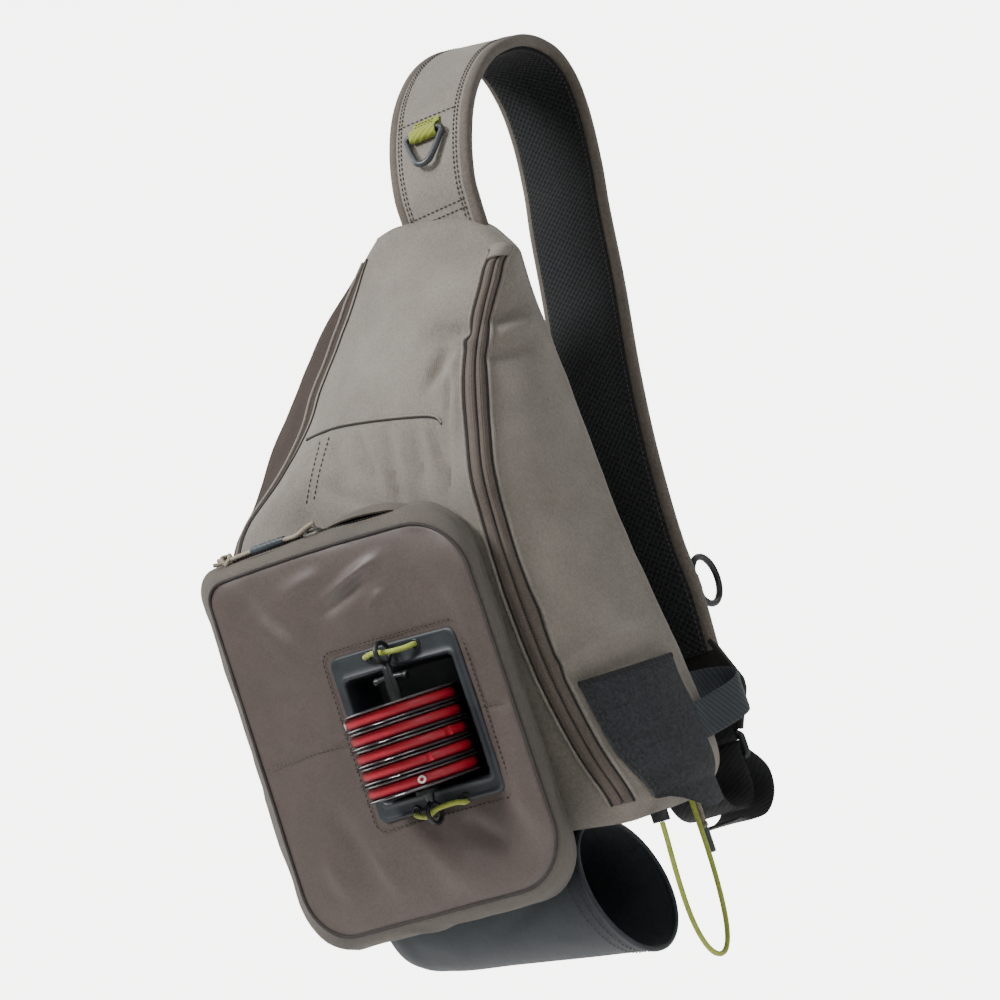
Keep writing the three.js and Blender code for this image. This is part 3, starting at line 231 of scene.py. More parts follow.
def band(path, width, thick, across, sides=20):
    """A flat section with soft edges, |x/w|^4 + |y/t|^4 = 1, carried along a line. It stays
    level with a given direction across: side = across - (across . along) along."""
    along = unit(np.gradient(path, axis=0))
    across = np.broadcast_to(across, path.shape)
    side = unit(across - along * (across * along).sum(axis=1, keepdims=True))
    out = np.cross(side, along)
    a = np.linspace(0, 2 * np.pi, sides, endpoint=False)[None, :, None]
    cos, sin = np.cos(a), np.sin(a)
    flat = np.sign(cos) * np.abs(cos) ** 0.5 * side[:, None] * width / 2
    tall = np.sign(sin) * np.abs(sin) ** 0.5 * out[:, None] * thick / 2
    return skin(path[:, None] + flat + tall)


def torus(middle, radius, rod, axis, steps=48, sides=14):
    """A ring: a round section carried round a circle about one of the three axes."""
    a = np.linspace(0, 2 * np.pi, steps, endpoint=False)
    flat = np.stack([np.cos(a), np.sin(a), 0 * a], axis=1) * radius
    path = np.roll(flat, "zxy".index(axis), axis=1) + middle
    return tube(path, rod, np.eye(3)["xyz".index(axis)], sides, True)


def stitches(path, out, pitch=3.6, long=2.4, radius=0.42, lift=0.25):
    """Short threads along a line: one small four-sided spindle at each step, all at once."""
    far = lengths(path)
    at = np.arange(pitch / 2, far[-1] - pitch / 2, pitch)
    middle = np.stack([np.interp(at, far, column) for column in path.T], axis=1)
    along = np.stack([np.interp(at, far, c) for c in np.gradient(path, far, axis=0).T], axis=1)
    along = unit(along)
    rise = np.broadcast_to(out, path.shape)
    rise = unit(np.stack([np.interp(at, far, column) for column in rise.T], axis=1))
    across = np.cross(along, rise)
    x = np.array([-0.5, -0.32, 0.32, 0.5])[:, None, None] * long
    r = np.array([0.25, 1.0, 1.0, 0.25])[:, None, None] * radius
    a = np.arange(4)[None, :, None] * np.pi / 2
    local = np.concatenate([x + 0 * a, r * np.cos(a), r * np.sin(a)], axis=2).reshape(-1, 3)
    basis = np.stack([along, across, rise], axis=1)
    points = middle[:, None] + rise[:, None] * lift + np.einsum("kj,mji->mki", local, basis)
    i, j = np.arange(3)[:, None], np.arange(4)[None, :]
    quads = np.stack([i * 4 + j, i * 4 + (j + 1) % 4, i * 4 + 4 + (j + 1) % 4, i * 4 + 4 + j], -1)
    quads = np.concatenate([quads.reshape(-1, 4), [[3, 2, 1, 0], [12, 13, 14, 15]]])
    quads = (quads[None] + 16 * np.arange(len(at))[:, None, None]).reshape(-1, 4)
    flat_uv = np.zeros((len(quads), 4, 2))
    return outward(points.reshape(-1, 3), quads, NO_TRIS, flat_uv, NO_UV)


# %% Cloth that is not flat
def value_noise(points, size, seed):
    """Smooth random heights from -1 to 1: a lattice of random numbers, blended by cubic ramps."""
    lattice = np.random.default_rng(seed).uniform(-1, 1, (24, 24, 24))
    p = points / size + 40.0
    i = np.floor(p).astype(int)
    t = p - i
    t = t * t * (3 - 2 * t)
    total = np.zeros(points.shape[:-1])
    for corner in np.ndindex(2, 2, 2):
        step = np.array(corner)
        weight = np.prod(np.where(step == 1, t, 1 - t), axis=-1)
        cell = (i + step) % 24
        total += weight * lattice[cell[..., 0], cell[..., 1], cell[..., 2]]
    return total


def creases(points, table, weights=(1, 1, 1)):
    """Folds in a cloth: each is a line a to b, and its height falls off with the distance d
    from it as exp(-(d/width)^2), and towards its two ends as sin(pi t). The weights say how much
    each axis counts in d, so a fold need not lie exactly on the cloth."""
    height = np.zeros(points.shape[:-1])
    for a, b, width, tall in table:
        a, b = np.array(a, float), np.array(b, float)
        t = np.clip(((points - a) @ (b - a)) / ((b - a) @ (b - a)), 0, 1)
        d = np.linalg.norm((points - (a + t[..., None] * (b - a))) * weights, axis=-1)
        height += tall * np.exp(-((d / width) ** 2)) * np.sin(np.pi * np.clip(t, 0.04, 0.96))
    return height


print("shape tools ready")

# %% [markdown]
# ## Finishes
# Each finish is named for what the real one is, and says so where it carries painted shade. Cloth and
# cords follow their own cloth coordinates, which are in metres, so a thread pitch is a real size.
# A thread of 0.3 mm is too fine for the picture, so the weave is drawn three or four times as coarse.


# %% One node at a time, and one hex colour at a time
def linear(code):
    """An sRGB hex colour as linear light, by the standard's curve."""
    c = np.array([int(code[i : i + 2], 16) for i in (1, 3, 5)]) / 255.0
    c = np.where(c <= 0.04045, c / 12.92, ((c + 0.055) / 1.055) ** 2.4)
    return (*c.tolist(), 1.0)


def add(tree, kind, values=(), links=(), **properties):
    """Adds one node with its properties, its fixed inputs and its links."""
    node = tree.nodes.new(kind)
    for key, value in properties.items():
        setattr(node, key, value)
    for key, value in dict(values).items():
        node.inputs[key].default_value = value
    for key, socket in dict(links).items():
        tree.links.new(socket, node.inputs[key])
    return node


def maths(tree, operation, *values, **properties):
    """A maths node on numbers and sockets, in the order of its inputs."""
    fixed = {i: v for i, v in enumerate(values) if isinstance(v, (int, float))}
    links = {i: v for i, v in enumerate(values) if i not in fixed}
    return add(tree, "ShaderNodeMath", fixed, links, operation=operation, **properties).outputs[0]


def noise(tree, at, scale, detail, **values):
    """Noise at the given places, from 0 to 1."""
    values = {"Scale": scale, "Detail": detail, **values}
    return add(tree, "ShaderNodeTexNoise", values, {"Vector": at}).outputs["Fac"]


def spread(tree, value, low, high, to_low=0.0, to_high=1.0):
    """Carries the range from low to high over to another range."""
    ends = {"From Min": low, "From Max": high, "To Min": to_low, "To Max": to_high}
    return add(tree, "ShaderNodeMapRange", ends, {"Value": value}).outputs[0]


def dress(tree, surface, level, dark, light, height, strength, depth):
    """The level picks a colour between dark and light, and the height becomes a bump."""
    ends = {6: linear(dark), 7: linear(light)}
    colour = add(tree, "ShaderNodeMix", ends, {0: level}, data_type="RGBA")
    tree.links.new(colour.outputs[2], surface.inputs["Base Color"])
    bump = add(
        tree, "ShaderNodeBump", {"Strength": strength, "Distance": depth}, {"Height": height}
    )
    tree.links.new(bump.outputs["Normal"], surface.inputs["Normal"])


def finish(name, shader, build=None):
    """A material: a Principled surface with constant sockets, and build adds its patterns."""
    material = bpy.data.materials.new(name)
    material.use_nodes = True
    tree = material.node_tree
    surface = tree.nodes["Principled BSDF"]
    for key, value in shader.items():
        surface.inputs[key].default_value = value
    if build:
        build(tree, surface)
    return material


def pattern_places(tree, kind, pitch_u, pitch_v, turn=0.0):
    """Where a repeated pattern is: cloth coordinates divided by its real pitch in metres."""
    if kind == "cloth":
        place_in = add(tree, "ShaderNodeUVMap", uv_map="cloth").outputs["UV"]
    else:
        place_in = add(tree, "ShaderNodeTexCoord").outputs["Object"]
    scale = (1 / pitch_u, 1 / pitch_v, 1 / pitch_u)
    values = {"Scale": scale, "Rotation": (0, 0, turn)}
    return add(tree, "ShaderNodeMapping", values, {"Vector": place_in}).outputs["Vector"]


# %% Woven and coated cloth
def woven(light, dark, pitch, depth, cloudy=0.5, cloud_size=0.05):
    """Threads over and under: the product of two sine waves along the cloth, in its height and
    its colour, with soft clouds where handling has rubbed it."""

    def build(tree, surface):
        at = pattern_places(tree, "cloth", pitch, pitch)
        split = add(tree, "ShaderNodeSeparateXYZ", links={"Vector": at})
        turns = [maths(tree, "MULTIPLY", split.outputs[axis], 6.2832) for axis in "XY"]
        both = maths(tree, "MULTIPLY", *[maths(tree, "SINE", turn) for turn in turns])
        solid = pattern_places(tree, "object", 1, 1)
        clouds = noise(tree, solid, 1 / cloud_size, 5.0, Roughness=0.6)
        grain = noise(tree, solid, 1 / (pitch * 1.3), 2.0)
        weave = spread(tree, both, -1, 1, 0.3, 0.7)
        speck = spread(tree, grain, 0.3, 0.7, -0.22, 0.22)
        cloud = spread(tree, clouds, 0.3, 0.7, -cloudy / 2, cloudy / 2)
        level = maths(tree, "ADD", maths(tree, "ADD", weave, speck), cloud, use_clamp=True)
        height = maths(tree, "MULTIPLY_ADD", grain, 0.5, both)
        dress(tree, surface, level, dark, light, height, 0.55, depth)

    return build


# Textured nylon pack cloth: dull, with a faint sheen where the threads turn over.
PACK_NYLON = finish(
    "pack_nylon_woven_taupe",
    {"Roughness": 0.82, "IOR": 1.5, "Sheen Weight": 0.15, "Sheen Roughness": 0.5},
    woven("#8f887f", "#6c665e", 0.0012, 0.0003),
)
# The same cloth on the gusset, where it is a shade warmer and in its own shadow.
GUSSET_NYLON = finish(
    "gusset_nylon_woven_brown",
    {"Roughness": 0.8, "IOR": 1.5, "Sheen Weight": 0.12, "Sheen Roughness": 0.5},
    woven("#625a51", "#453f38", 0.0012, 0.0003),
)
# Nylon with a polyurethane coat outside: the coat fills the weave and shines along folds.
COATED_NYLON = finish(
    "pocket_nylon_coated_brown",
    {"Roughness": 0.36, "IOR": 1.5, "Specular IOR Level": 0.5, "Sheen Weight": 0.08},
    woven("#5a4f4b", "#453c38", 0.0011, 0.00006, 0.3, 0.03),
)
# Slate sleeve cloth: tight and smooth.
SLEEVE_NYLON = finish(
    "sleeve_nylon_woven_slate",
    {"Roughness": 0.6, "IOR": 1.5, "Sheen Weight": 0.1},
    woven("#2e363c", "#1e2429", 0.0011, 0.00014, 0.3),
)
# Bias-cut cloth, rolled round the strap's raw edges.
EDGE_BINDING = finish(
    "edge_binding_folded_brown",
    {"Roughness": 0.85, "IOR": 1.5, "Sheen Weight": 0.1},
    woven("#6d655c", "#4c453e", 0.0014, 0.0004),
)
PIPING = finish(
    "piping_folded_dark_brown",
    {"Roughness": 0.6, "IOR": 1.5},
    woven("#332c29", "#1d1917", 0.0012, 0.0003),
)
# The left side: the same coated cloth, darkened as painted shade for that side, and with a duller skin.
SIDE_NYLON_SHADED = finish(
    "coated_nylon_side_painted_shade",
    {"Roughness": 0.9, "IOR": 1.5, "Specular IOR Level": 0.05},
    woven("#4f4642", "#3b3431", 0.0011, 0.00008, 0.3, 0.03),
)
# The wing at the strap's lower end: dark nylon, with painted shade that takes it to almost black-brown.
WING_NYLON_SHADED = finish(
    "nylon_dark_brown_painted_shade",
    {"Roughness": 0.85, "IOR": 1.5, "Sheen Weight": 0.05},
    woven("#231e1b", "#151210", 0.0012, 0.0003, 0.3),
)
# The two tapes of the zip: a close warp-knit band, brown, ribbed along its length.
TAPE_NYLON = finish(
    "zip_tape_knitted_brown",
    {"Roughness": 0.75, "IOR": 1.5, "Sheen Weight": 0.1},
    woven("#6a5f56", "#463e38", 0.0009, 0.0002, 0.2),
)
print("cloth finishes ready")

# %% [markdown]
# Webbing is woven with thick warp threads, so it shows ribs across its length. Felt has no
# weave at all, only matted fibres. Spacer mesh is a knit with an open hole every few
# millimetres.


# %% Webbing, felt and mesh
def ribbed(light, dark, pitch, depth):
    """Ribs across a webbing: a triangle wave along it, broken by a finer wave across it."""

    def build(tree, surface):
        at = pattern_places(tree, "cloth", pitch * 0.8, pitch)
        split = add(tree, "ShaderNodeSeparateXYZ", links={"Vector": at})
        lean = maths(tree, "MULTIPLY_ADD", split.outputs["X"], 0.5, split.outputs["Y"])
        rib = maths(tree, "PINGPONG", lean, 1.0)
        level = maths(tree, "MULTIPLY_ADD", noise(tree, at, 1.4, 2.0), 0.6, rib)
        dress(tree, surface, spread(tree, level, 0.1, 1.3), dark, light, level, 0.8, depth)

    return build


def matted(light, dark):
    """Fibres lying every way: stretched noise at two sizes."""

    def build(tree, surface):
        solid = pattern_places(tree, "object", 1, 1)
        fibres = noise(tree, solid, 900.0, 6.0, Distortion=1.5)
        both = maths(tree, "ADD", fibres, noise(tree, solid, 420.0, 3.0))
        dress(tree, surface, spread(tree, both, 0.75, 1.3), dark, light, both, 0.9, 0.0006)

    return build


def holed(light, dark, pitch):
    """Holes in rows that are set half a step apart: the distance to the nearest of them."""

    def build(tree, surface):
        at = pattern_places(tree, "cloth", pitch, pitch, 0.785)
        values = {"Scale": 1.0, "Randomness": 0.0}
        holes = add(tree, "ShaderNodeTexVoronoi", values, {"Vector": at}, voronoi_dimensions="2D")
        tone = spread(tree, holes.outputs["Distance"], 0.28, 0.5)
        dress(tree, surface, tone, dark, light, tone, 1.0, 0.0008)

    return build


SLATE_WEBBING = finish(
    "webbing_woven_slate", {"Roughness": 0.85, "Sheen Weight": 0.1},
    ribbed("#373f44", "#1c2124", 0.0018, 0.0003)
)
BLACK_WEBBING = finish(
    "webbing_woven_black", {"Roughness": 0.8, "Sheen Weight": 0.1},
    ribbed("#1b1d1f", "#08090a", 0.0018, 0.0003)
)
GREEN_WEBBING = finish(
    "webbing_woven_green", {"Roughness": 0.85, "Sheen Weight": 0.1},
    ribbed("#9aa53c", "#6c7526", 0.0018, 0.0003)
)
FELT = finish(
    "wool_felt_charcoal", {"Roughness": 1.0, "Sheen Weight": 0.12, "Sheen Roughness": 0.6},
    matted("#30363b", "#090b0d")
)
SPACER_MESH = finish(
    "spacer_mesh_knitted_black", {"Roughness": 0.9}, holed("#1b1f21", "#030303", 0.0034)
)
# Braided elastic and nylon cord: the braid's crossings lean one way and then the other.
GREEN_CORD = finish(
    "cord_braided_green", {"Roughness": 0.75, "Sheen Weight": 0.1},
    woven("#b4c052", "#7f8a33", 0.0016, 0.0003, 0.2)
)
BEIGE_CORD = finish(
    "cord_braided_beige", {"Roughness": 0.8}, woven("#b0a696", "#716859", 0.0015, 0.0003, 0.3)
)
THREAD_TAUPE = finish("thread_twisted_taupe", {"Roughness": 0.7, "Base Color": linear("#39342f")})
# Dark brown lines along seams and in the grooves under welts: painted shade where the cloth dips in.
SEAM_SHADE_LINE = finish("seam_line_painted_shade_dark_brown", {"Roughness": 0.8, "Base Color": linear("#1f1b19")})
THREAD_BROWN = finish("thread_twisted_brown", {"Roughness": 0.7, "Base Color": linear("#2c2420")})
print("webbing, felt, mesh and cord finishes ready")

# %% [markdown]
# The hard parts are mouldings. Rubber scatters its highlight, acetal is waxy, and the spools
# are clear smoke-coloured plastic that shows bright lines along its rims.


# %% Mouldings
def moulded(light, dark, size, depth):
    """A moulding's skin: fine texture from the tool, and faint clouds of wear."""

    def build(tree, surface):
        solid = pattern_places(tree, "object", 1, 1)
        texture = noise(tree, solid, 1 / size, 3.0)
        tone = spread(tree, noise(tree, solid, 70.0, 4.0), 0.3, 0.75)
        dress(tree, surface, tone, dark, light, texture, 0.4, depth)

    return build


DOCK_RUBBER = finish(
    "dock_rubber_moulded_slate", {"Roughness": 0.5, "IOR": 1.52},
    moulded("#2b3136", "#1f2428", 0.0009, 0.00012)
)
BLACK_RUBBER = finish(
    "rubber_moulded_black", {"Roughness": 0.42, "IOR": 1.52},
    moulded("#1f2224", "#111314", 0.0009, 0.0001)
)
GREY_ACETAL = finish(
    "acetal_moulded_slate", {"Roughness": 0.38, "IOR": 1.48},
    moulded("#3f4549", "#2b3034", 0.0012, 0.00006)
)
COIL_NYLON = finish(
    "zip_coil_nylon_black", {"Roughness": 0.4, "IOR": 1.53},
    moulded("#2d2a28", "#191716", 0.0012, 0.00006)
)
GUNMETAL = finish(
    "slider_zinc_painted_grey", {"Roughness": 0.35, "Metallic": 0.6},
    moulded("#77746f", "#55524e", 0.0012, 0.00005)
)
GRIP_TUBE = finish(
    "grip_tube_moulded_slate", {"Roughness": 0.5, "IOR": 1.5},
    moulded("#414a52", "#2c3339", 0.001, 0.0001)
)
SMOKE_STYRENE = finish(
    "spool_styrene_moulded_smoke",
    {"Roughness": 0.12, "IOR": 1.59, "Transmission Weight": 0.35},
    moulded("#4c4345", "#2e2829", 0.002, 0.00002),
)
RED_ELASTIC = finish(
    "band_elastic_woven_red", {"Roughness": 0.45, "Coat Weight": 0.25, "Coat Roughness": 0.2},
    woven("#c4162e", "#960c20", 0.0016, 0.0001, 0.2)
)
WHITE_EYELET = finish(
    "eyelet_moulded_white", {"Roughness": 0.3}, moulded("#e6e4de", "#c9c5bc", 0.001, 0.00004)
)
print("moulded finishes ready")


# %% From shape to piece
HEAD_BEND, HEAD_LEFT, HEAD_FOOT, HEAD_RISE = 0.0003, -172, -18, 247


def sloped(points):
    """The pocket's head slopes down to the right: z falls by HEAD_BEND times the squared way from
    its left side, in full at its head and not at all at its foot."""
    points = np.array(points, float)
    share = np.clip((points[..., 2] - HEAD_FOOT) / HEAD_RISE, 0, 1)
    points[..., 2] -= HEAD_BEND * np.clip(points[..., 0] - HEAD_LEFT, 0, None) ** 2 * share
    return points


def piece(name, shape, material, slot, *replaced, body="bag", faces=None, extra=(), slope=False):
    """A shape in bag millimetres becomes a smooth-shaded object at the origin that rides on a
    body, with its cloth coordinates in metres."""
    points, quads, tris, quad_uv, tri_uv = shape
    points = sloped(points) if slope else points
    mesh = bpy.data.meshes.new(name)
    mesh.from_pydata(place(points).tolist(), [], quads.tolist() + tris.tolist())
    layer = mesh.uv_layers.new(name="cloth")
    layer.data.foreach_set("uv", np.concatenate([quad_uv.ravel(), tri_uv.ravel()]))
    for one in (material, *extra):
        mesh.materials.append(one)
    if faces is not None:
        mesh.polygons.foreach_set("material_index", np.asarray(faces, np.int32))
    mesh.shade_smooth()
    mesh.set_sharp_from_angle(angle=np.radians(50))
    mesh.update()
    made = bpy.data.objects.new(name, mesh)
    bpy.context.scene.collection.objects.link(made)
    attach(made, body)
    if replaced:
        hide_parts(*replaced)
    print(f"{name}: {len(mesh.polygons)} faces, {np.round((points.max(0) - points.min(0)), 1)} mm")
    return made


# %% [markdown]
# ## The elastic cord
# A loop of elastic hangs from its tab beside the sleeve under the pack. It is one limp cord of
# a fixed length, held at both ends, so it hangs in a long U.

# %% Elastic cord
SLEEVE_CORD_POINTS = [
    [77.0, -71.5, -9.0], [76.8, -71.8, -18.0], [76.2, -72.0, -28.5], [75.4, -71.8, -39.5],
    [74.5, -71.0, -50.5], [73.6, -69.6, -61.5], [72.8, -67.2, -72.0], [72.2, -63.6, -81.5],
    [71.8, -58.8, -89.5], [71.6, -53.0, -95.0], [71.4, -46.5, -97.6], [71.2, -40.0, -97.2],
    [71.0, -34.2, -93.6], [70.8, -29.4, -87.2], [70.6, -25.6, -78.4], [70.4, -22.8, -68.0],
    [70.2, -20.8, -56.8], [70.0, -19.4, -45.0], [69.8, -18.6, -33.2], [69.6, -18.2, -21.8],
    [69.5, -18.0, -12.0], [69.5, -18.0, -4.6],
]  # fmt: skip
cord_line = curve(SLEEVE_CORD_POINTS, 150)
elastic = piece(
    "sleeve_elastic", tube(cord_line, 1.7, (1, 0, 0), 10), GREEN_CORD, "green_cord", "sleeve_cord"
)

# %% [markdown]
# ## The pack's body
# The body is a soft shell of four sewn panels: a front, two sides and a back. A table gives
# its outline at sixteen levels, and the outline between them is smooth. The corners are
# rounded by quadratic curves, and the sides swell a little, as filled cloth does.

# %% Body outline
BODY_HEIGHT, LEFT_REACH, RIGHT_REACH, BODY_DEPTH = 404.0, 241.0, 85.0, 95.0
FOOT_SLOPE, FOOT_X, FOOT_FADE = 0.11, 38.0, 0.35
# height, left, front left, front right, right, depth, swell: shares of the sizes above
BODY_TABLE = np.array([
    [0.000, 0.780, 0.700, 0.770, 0.890, 0.905, 0.0],
    [0.030, 0.855, 0.745, 0.820, 1.040, 0.985, 0.0],
    [0.100, 0.917, 0.760, 0.715, 1.105, 1.000, 0.0],
    [0.210, 0.963, 0.760, 0.600, 1.050, 1.000, 0.0],
    [0.345, 0.996, 0.750, 0.545, 0.975, 1.000, 0.0],
    [0.470, 1.000, 0.720, 0.548, 0.935, 1.000, 0.0],
    [0.570, 0.980, 0.675, 0.583, 0.912, 0.985, 0.0],
    [0.624, 0.942, 0.620, 0.605, 0.900, 0.915, 0.6],
    [0.680, 0.859, 0.477, 0.622, 0.894, 0.830, 1.0],
    [0.735, 0.776, 0.373, 0.655, 0.882, 0.740, 1.0],
    [0.805, 0.656, 0.307, 0.735, 0.862, 0.580, 1.0],
    [0.871, 0.523, 0.241, 0.850, 0.850, 0.425, 0.7],
    [0.926, 0.390, 0.183, 0.890, 0.835, 0.305, 0.4],
    [0.965, 0.257, 0.149, 0.800, 0.780, 0.250, 0.2],
    [0.990, 0.158, 0.124, 0.690, 0.690, 0.220, 0.0],
    [1.000, 0.124, 0.108, 0.620, 0.620, 0.195, 0.0],
])  # fmt: skip
ROUNDS, ROUND_LIMIT = (8.0, 24.0, 12.0, 8.0), 0.42


def body_corners(levels):
    """The four corners of the outline at each level, and how far each side swells."""
    rows = smooth(BODY_TABLE[:, 0], BODY_TABLE[:, 1:], levels)
    left, front_left, front_right, right_side, depth, swell = rows.T
    y = -BODY_DEPTH * depth
    xs = [
        -LEFT_REACH * left, -LEFT_REACH * front_left, RIGHT_REACH * front_right,
        RIGHT_REACH * right_side
    ]
    ys = [0 * y, y, y, 0 * y]
    corners = np.stack([np.stack([x, y], -1) for x, y in zip(xs, ys)], 1)
    return corners, np.stack([6 * depth, 5 * swell, 6 * depth, 0 * depth], 1)


def crown_drop(x, z):
    """How far the crown falls away to the right: 0.27 mm per mm, faded in over its height."""
    fade_in = np.clip((z / BODY_HEIGHT - 0.86) / 0.12, 0, 1)
    return fade_in * fade_in * (3 - 2 * fade_in) * 0.27 * np.clip(x, -10, 90)


def body_part(kind, k, levels, t):
    """Points of corner k or of the side after it: t runs from 0 to 1 along it.
    A corner is (1-t)^2 start + 2t(1-t) corner + t^2 end, and a side is straight with a swell of
    4t(1-t) times its own."""
    corners, swells = body_corners(levels)
    t = np.broadcast_to(t, (len(levels), np.shape(t)[-1]))[..., None]

    def towards(a, b, distance):
        gap = np.linalg.norm(b - a, axis=1, keepdims=True)
        return a + (b - a) / gap * np.minimum(distance, ROUND_LIMIT * gap)

    here, before, after = corners[:, k], corners[:, k - 1], corners[:, (k + 1) % 4]
    start, end = towards(here, before, ROUNDS[k])[:, None], towards(here, after, ROUNDS[k])[:, None]
    if kind == "corner":
        flat = (1 - t) ** 2 * start + 2 * t * (1 - t) * here[:, None] + t**2 * end
    else:
        following = towards(after, here, ROUNDS[(k + 1) % 4])[:, None]
        out = unit(np.stack([(after - here)[:, 1], (here - after)[:, 0]], -1))[:, None]
        flat = end + (following - end) * t + out * swells[:, k, None, None] * 4 * t * (1 - t)
    lift = np.maximum(0, 1 - levels / FOOT_FADE)[:, None]
    z = levels[:, None] * BODY_HEIGHT + FOOT_SLOPE * (FOOT_X - flat[..., 0]) * lift
    z = z - crown_drop(flat[..., 0], z)
    return np.concatenate([flat, z[..., None]], -1)


CORNER_COUNTS, SIDE_COUNTS = (6, 10, 8, 6), (20, 60, 34, 16)
levels = np.linspace(0, 1, 150)
parts, kinds = [], []
for k in range(4):
    for kind, count in (("corner", CORNER_COUNTS[k]), ("side", SIDE_COUNTS[k])):
        parts.append(body_part(kind, k, levels, np.linspace(0, 1, count, endpoint=False)))
        kinds += [(kind, k)] * count
body_grid = np.concatenate(parts, axis=1)
print("body grid", body_grid.shape)

# %% [markdown]
# Full cloth is never smooth. Low swells show the load inside, and sharper folds run out from
# where it is sewn or pulled: beside the zip, above the pocket and down the side panel.

# %% Body folds
BODY_FOLDS = [
    # from, to, width, height
    ((20, -57, 330), (54, -67, 313), 4.4, -4.4),
    ((30, -64, 318), (56, -71, 305), 3.6, 2.2),
    ((36, -66, 314), (17, -78, 288), 4.4, -4.4),
    ((44, -69, 308), (30, -80, 284), 4.0, 2.2),
    ((37, -71, 303), (29, -88, 260), 1.9, -1.5),
    ((29, -88, 264), (20, -95, 214), 2.1, -1.5),
    ((41, -72, 300), (30, -92, 236), 3.0, 1.2),
    ((-45, -79, 286), (-28, -94, 236), 3.2, -3.0),
    ((-37, -80, 286), (-20, -94, 236), 3.6, 2.2),
    ((-17, -83, 276), (-17, -95, 214), 3.2, -2.6),
    ((-9, -84, 274), (-6, -95, 220), 3.8, 2.0),
    ((3, -84, 274), (6, -94, 226), 3.2, -2.6),
    ((12, -85, 271), (15, -95, 220), 3.6, 2.0),
    ((19, -85, 268), (24, -94, 222), 3.0, -2.6),
    ((-64, -80, 284), (-56, -94, 238), 5.0, -1.6),
    ((-110, -84, 280), (-96, -94, 240), 6.0, 1.6),
    ((-84, -92, 262), (-40, -95, 232), 4.0, -1.6),
    ((-20, -38, 366), (34, -30, 352), 5.0, -1.2),
]
SIDE_FOLDS = [
    ((66, -58, 308), (72, -12, 312), 4.5, 2.6),
    ((70, -60, 318), (76, -14, 322), 5.0, -2.8),
    ((62, -74, 295), (78, -24, 297), 5.0, -2.6),
    ((56, -84, 250), (82, -20, 226), 8.0, 1.4),
    ((52, -90, 205), (84, -10, 176), 8.0, -1.6),
    ((48, -94, 98), (70, -62, 107), 4.2, 2.6),
    ((66, -66, 107), (98, -4, 104), 5.0, 2.4),
    ((52, -92, 88), (96, -8, 94), 5.0, -2.6),
    ((46, -94, 150), (60, -78, 118), 6.0, 1.8),
]


def body_bumps(points):
    """The pack cloth's swells and folds, so that what lies on it can follow them."""
    swells = 1.2 * value_noise(points, 46, 3) + 0.5 * value_noise(points, 17, 5)
    front_folds = 1.25 * creases(points, BODY_FOLDS, (1, 0.15, 1))
    return swells + front_folds + 1.25 * creases(points, SIDE_FOLDS, (0.15, 1, 1))


def rounded_end(ring, rise, steps=6):
    """Closes an end: the ring shrinks as cos a while it rises as sin a."""
    a = np.linspace(0, np.pi / 2, steps + 1)[1:, None, None]
    middle = ring.mean(axis=0)
    rings = middle + (ring - middle)[None] * np.cos(a) ** 0.8
    rings[..., 2:] += np.sin(a) * rise
    return rings


across = np.roll(body_grid, -1, axis=1) - np.roll(body_grid, 1, axis=1)
outwards = unit(np.cross(across, np.gradient(body_grid, axis=0)))
fade = np.clip(np.minimum(levels, 1 - levels) * 12, 0, 1)[:, None]
bumps = body_bumps(body_grid)
body_grid = body_grid + outwards * (bumps * fade)[..., None]
body_rows = np.concatenate([rounded_end(body_grid[0], -0.5)[::-1], body_grid, rounded_end(body_grid[-1], 5)])
body_shape = skin(body_rows)
# the finish of each column: 0 pack cloth, 1 the left side, darkened as painted shade, 2 the mesh of the back
COLUMN_FINISH = {("corner", 0): 1, ("side", 0): 1, ("side", 3): 2}
per_column = np.array([COLUMN_FINISH.get(kind, 0) for kind in kinds])
corner_start = kinds.index(("corner", 1))
per_column[corner_start : corner_start + 3] = 1
face_kind = np.concatenate([np.tile(per_column, len(body_rows) - 1), np.tile(per_column, 2)])
pack = piece(
    "pack_cloth_shell", body_shape, PACK_NYLON, "taupe_nylon", "body_shell",
    faces=face_kind, extra=(SIDE_NYLON_SHADED, SPACER_MESH),
)


def pack_normals(grid):
    """The normals of a patch of the pack's cloth, turned away from the pack's middle."""
    out = normals(grid)
    away = (grid - np.array([5.0, -8.0, 0.0])) * np.array([1, 1, 0])
    return out * np.sign(np.einsum("rci,rci->rc", out, away))[..., None]


def on_pack(kind, k, levels, t, off):
    """A patch of the pack's cloth with its folds, moved outwards by a distance."""
    grid = body_part(kind, k, levels, t)
    out = pack_normals(grid)
    ease_in = np.clip(np.minimum(levels, 1 - levels) * 12, 0, 1)[:, None]
    return grid + out * (body_bumps(grid) * ease_in + off)[..., None], out


# %% [markdown]
# ## Seams on the front panel
# The front panel has a shallow pocket behind a seam: two layers meet in a thin welt with a row
# of stitches under it. The left side panel is sewn on along a welt of its own.

# %% Front seam and side welt
front_levels = np.linspace(0.5, 0.99, 240)
front_area = np.concatenate([
    body_part("corner", 1, front_levels, np.linspace(0, 1, 20)),
    body_part("side", 1, front_levels, np.linspace(0, 1, 240)),
    body_part("corner", 2, front_levels, np.linspace(0, 1, 20)),
], axis=1).reshape(-1, 3)  # fmt: skip


def onto_front(line, off):
    """Puts a line of (x, z) on the front panel: its y is that of the nearest point there."""
    gaps = ((front_area[None, :, 0] - line[:, None, 0]) ** 2 + (front_area[None, :, 2] - line[:, None, 1]) ** 2)
    y = front_area[gaps.argmin(axis=1), 1]
    y = np.convolve(np.pad(y, 4, mode="edge"), np.ones(9) / 9, mode="valid")
    points = np.stack([line[:, 0], y, line[:, 1]], 1)
    return points + np.array([0, -1.0, 0]) * (body_bumps(points)[:, None] + off)


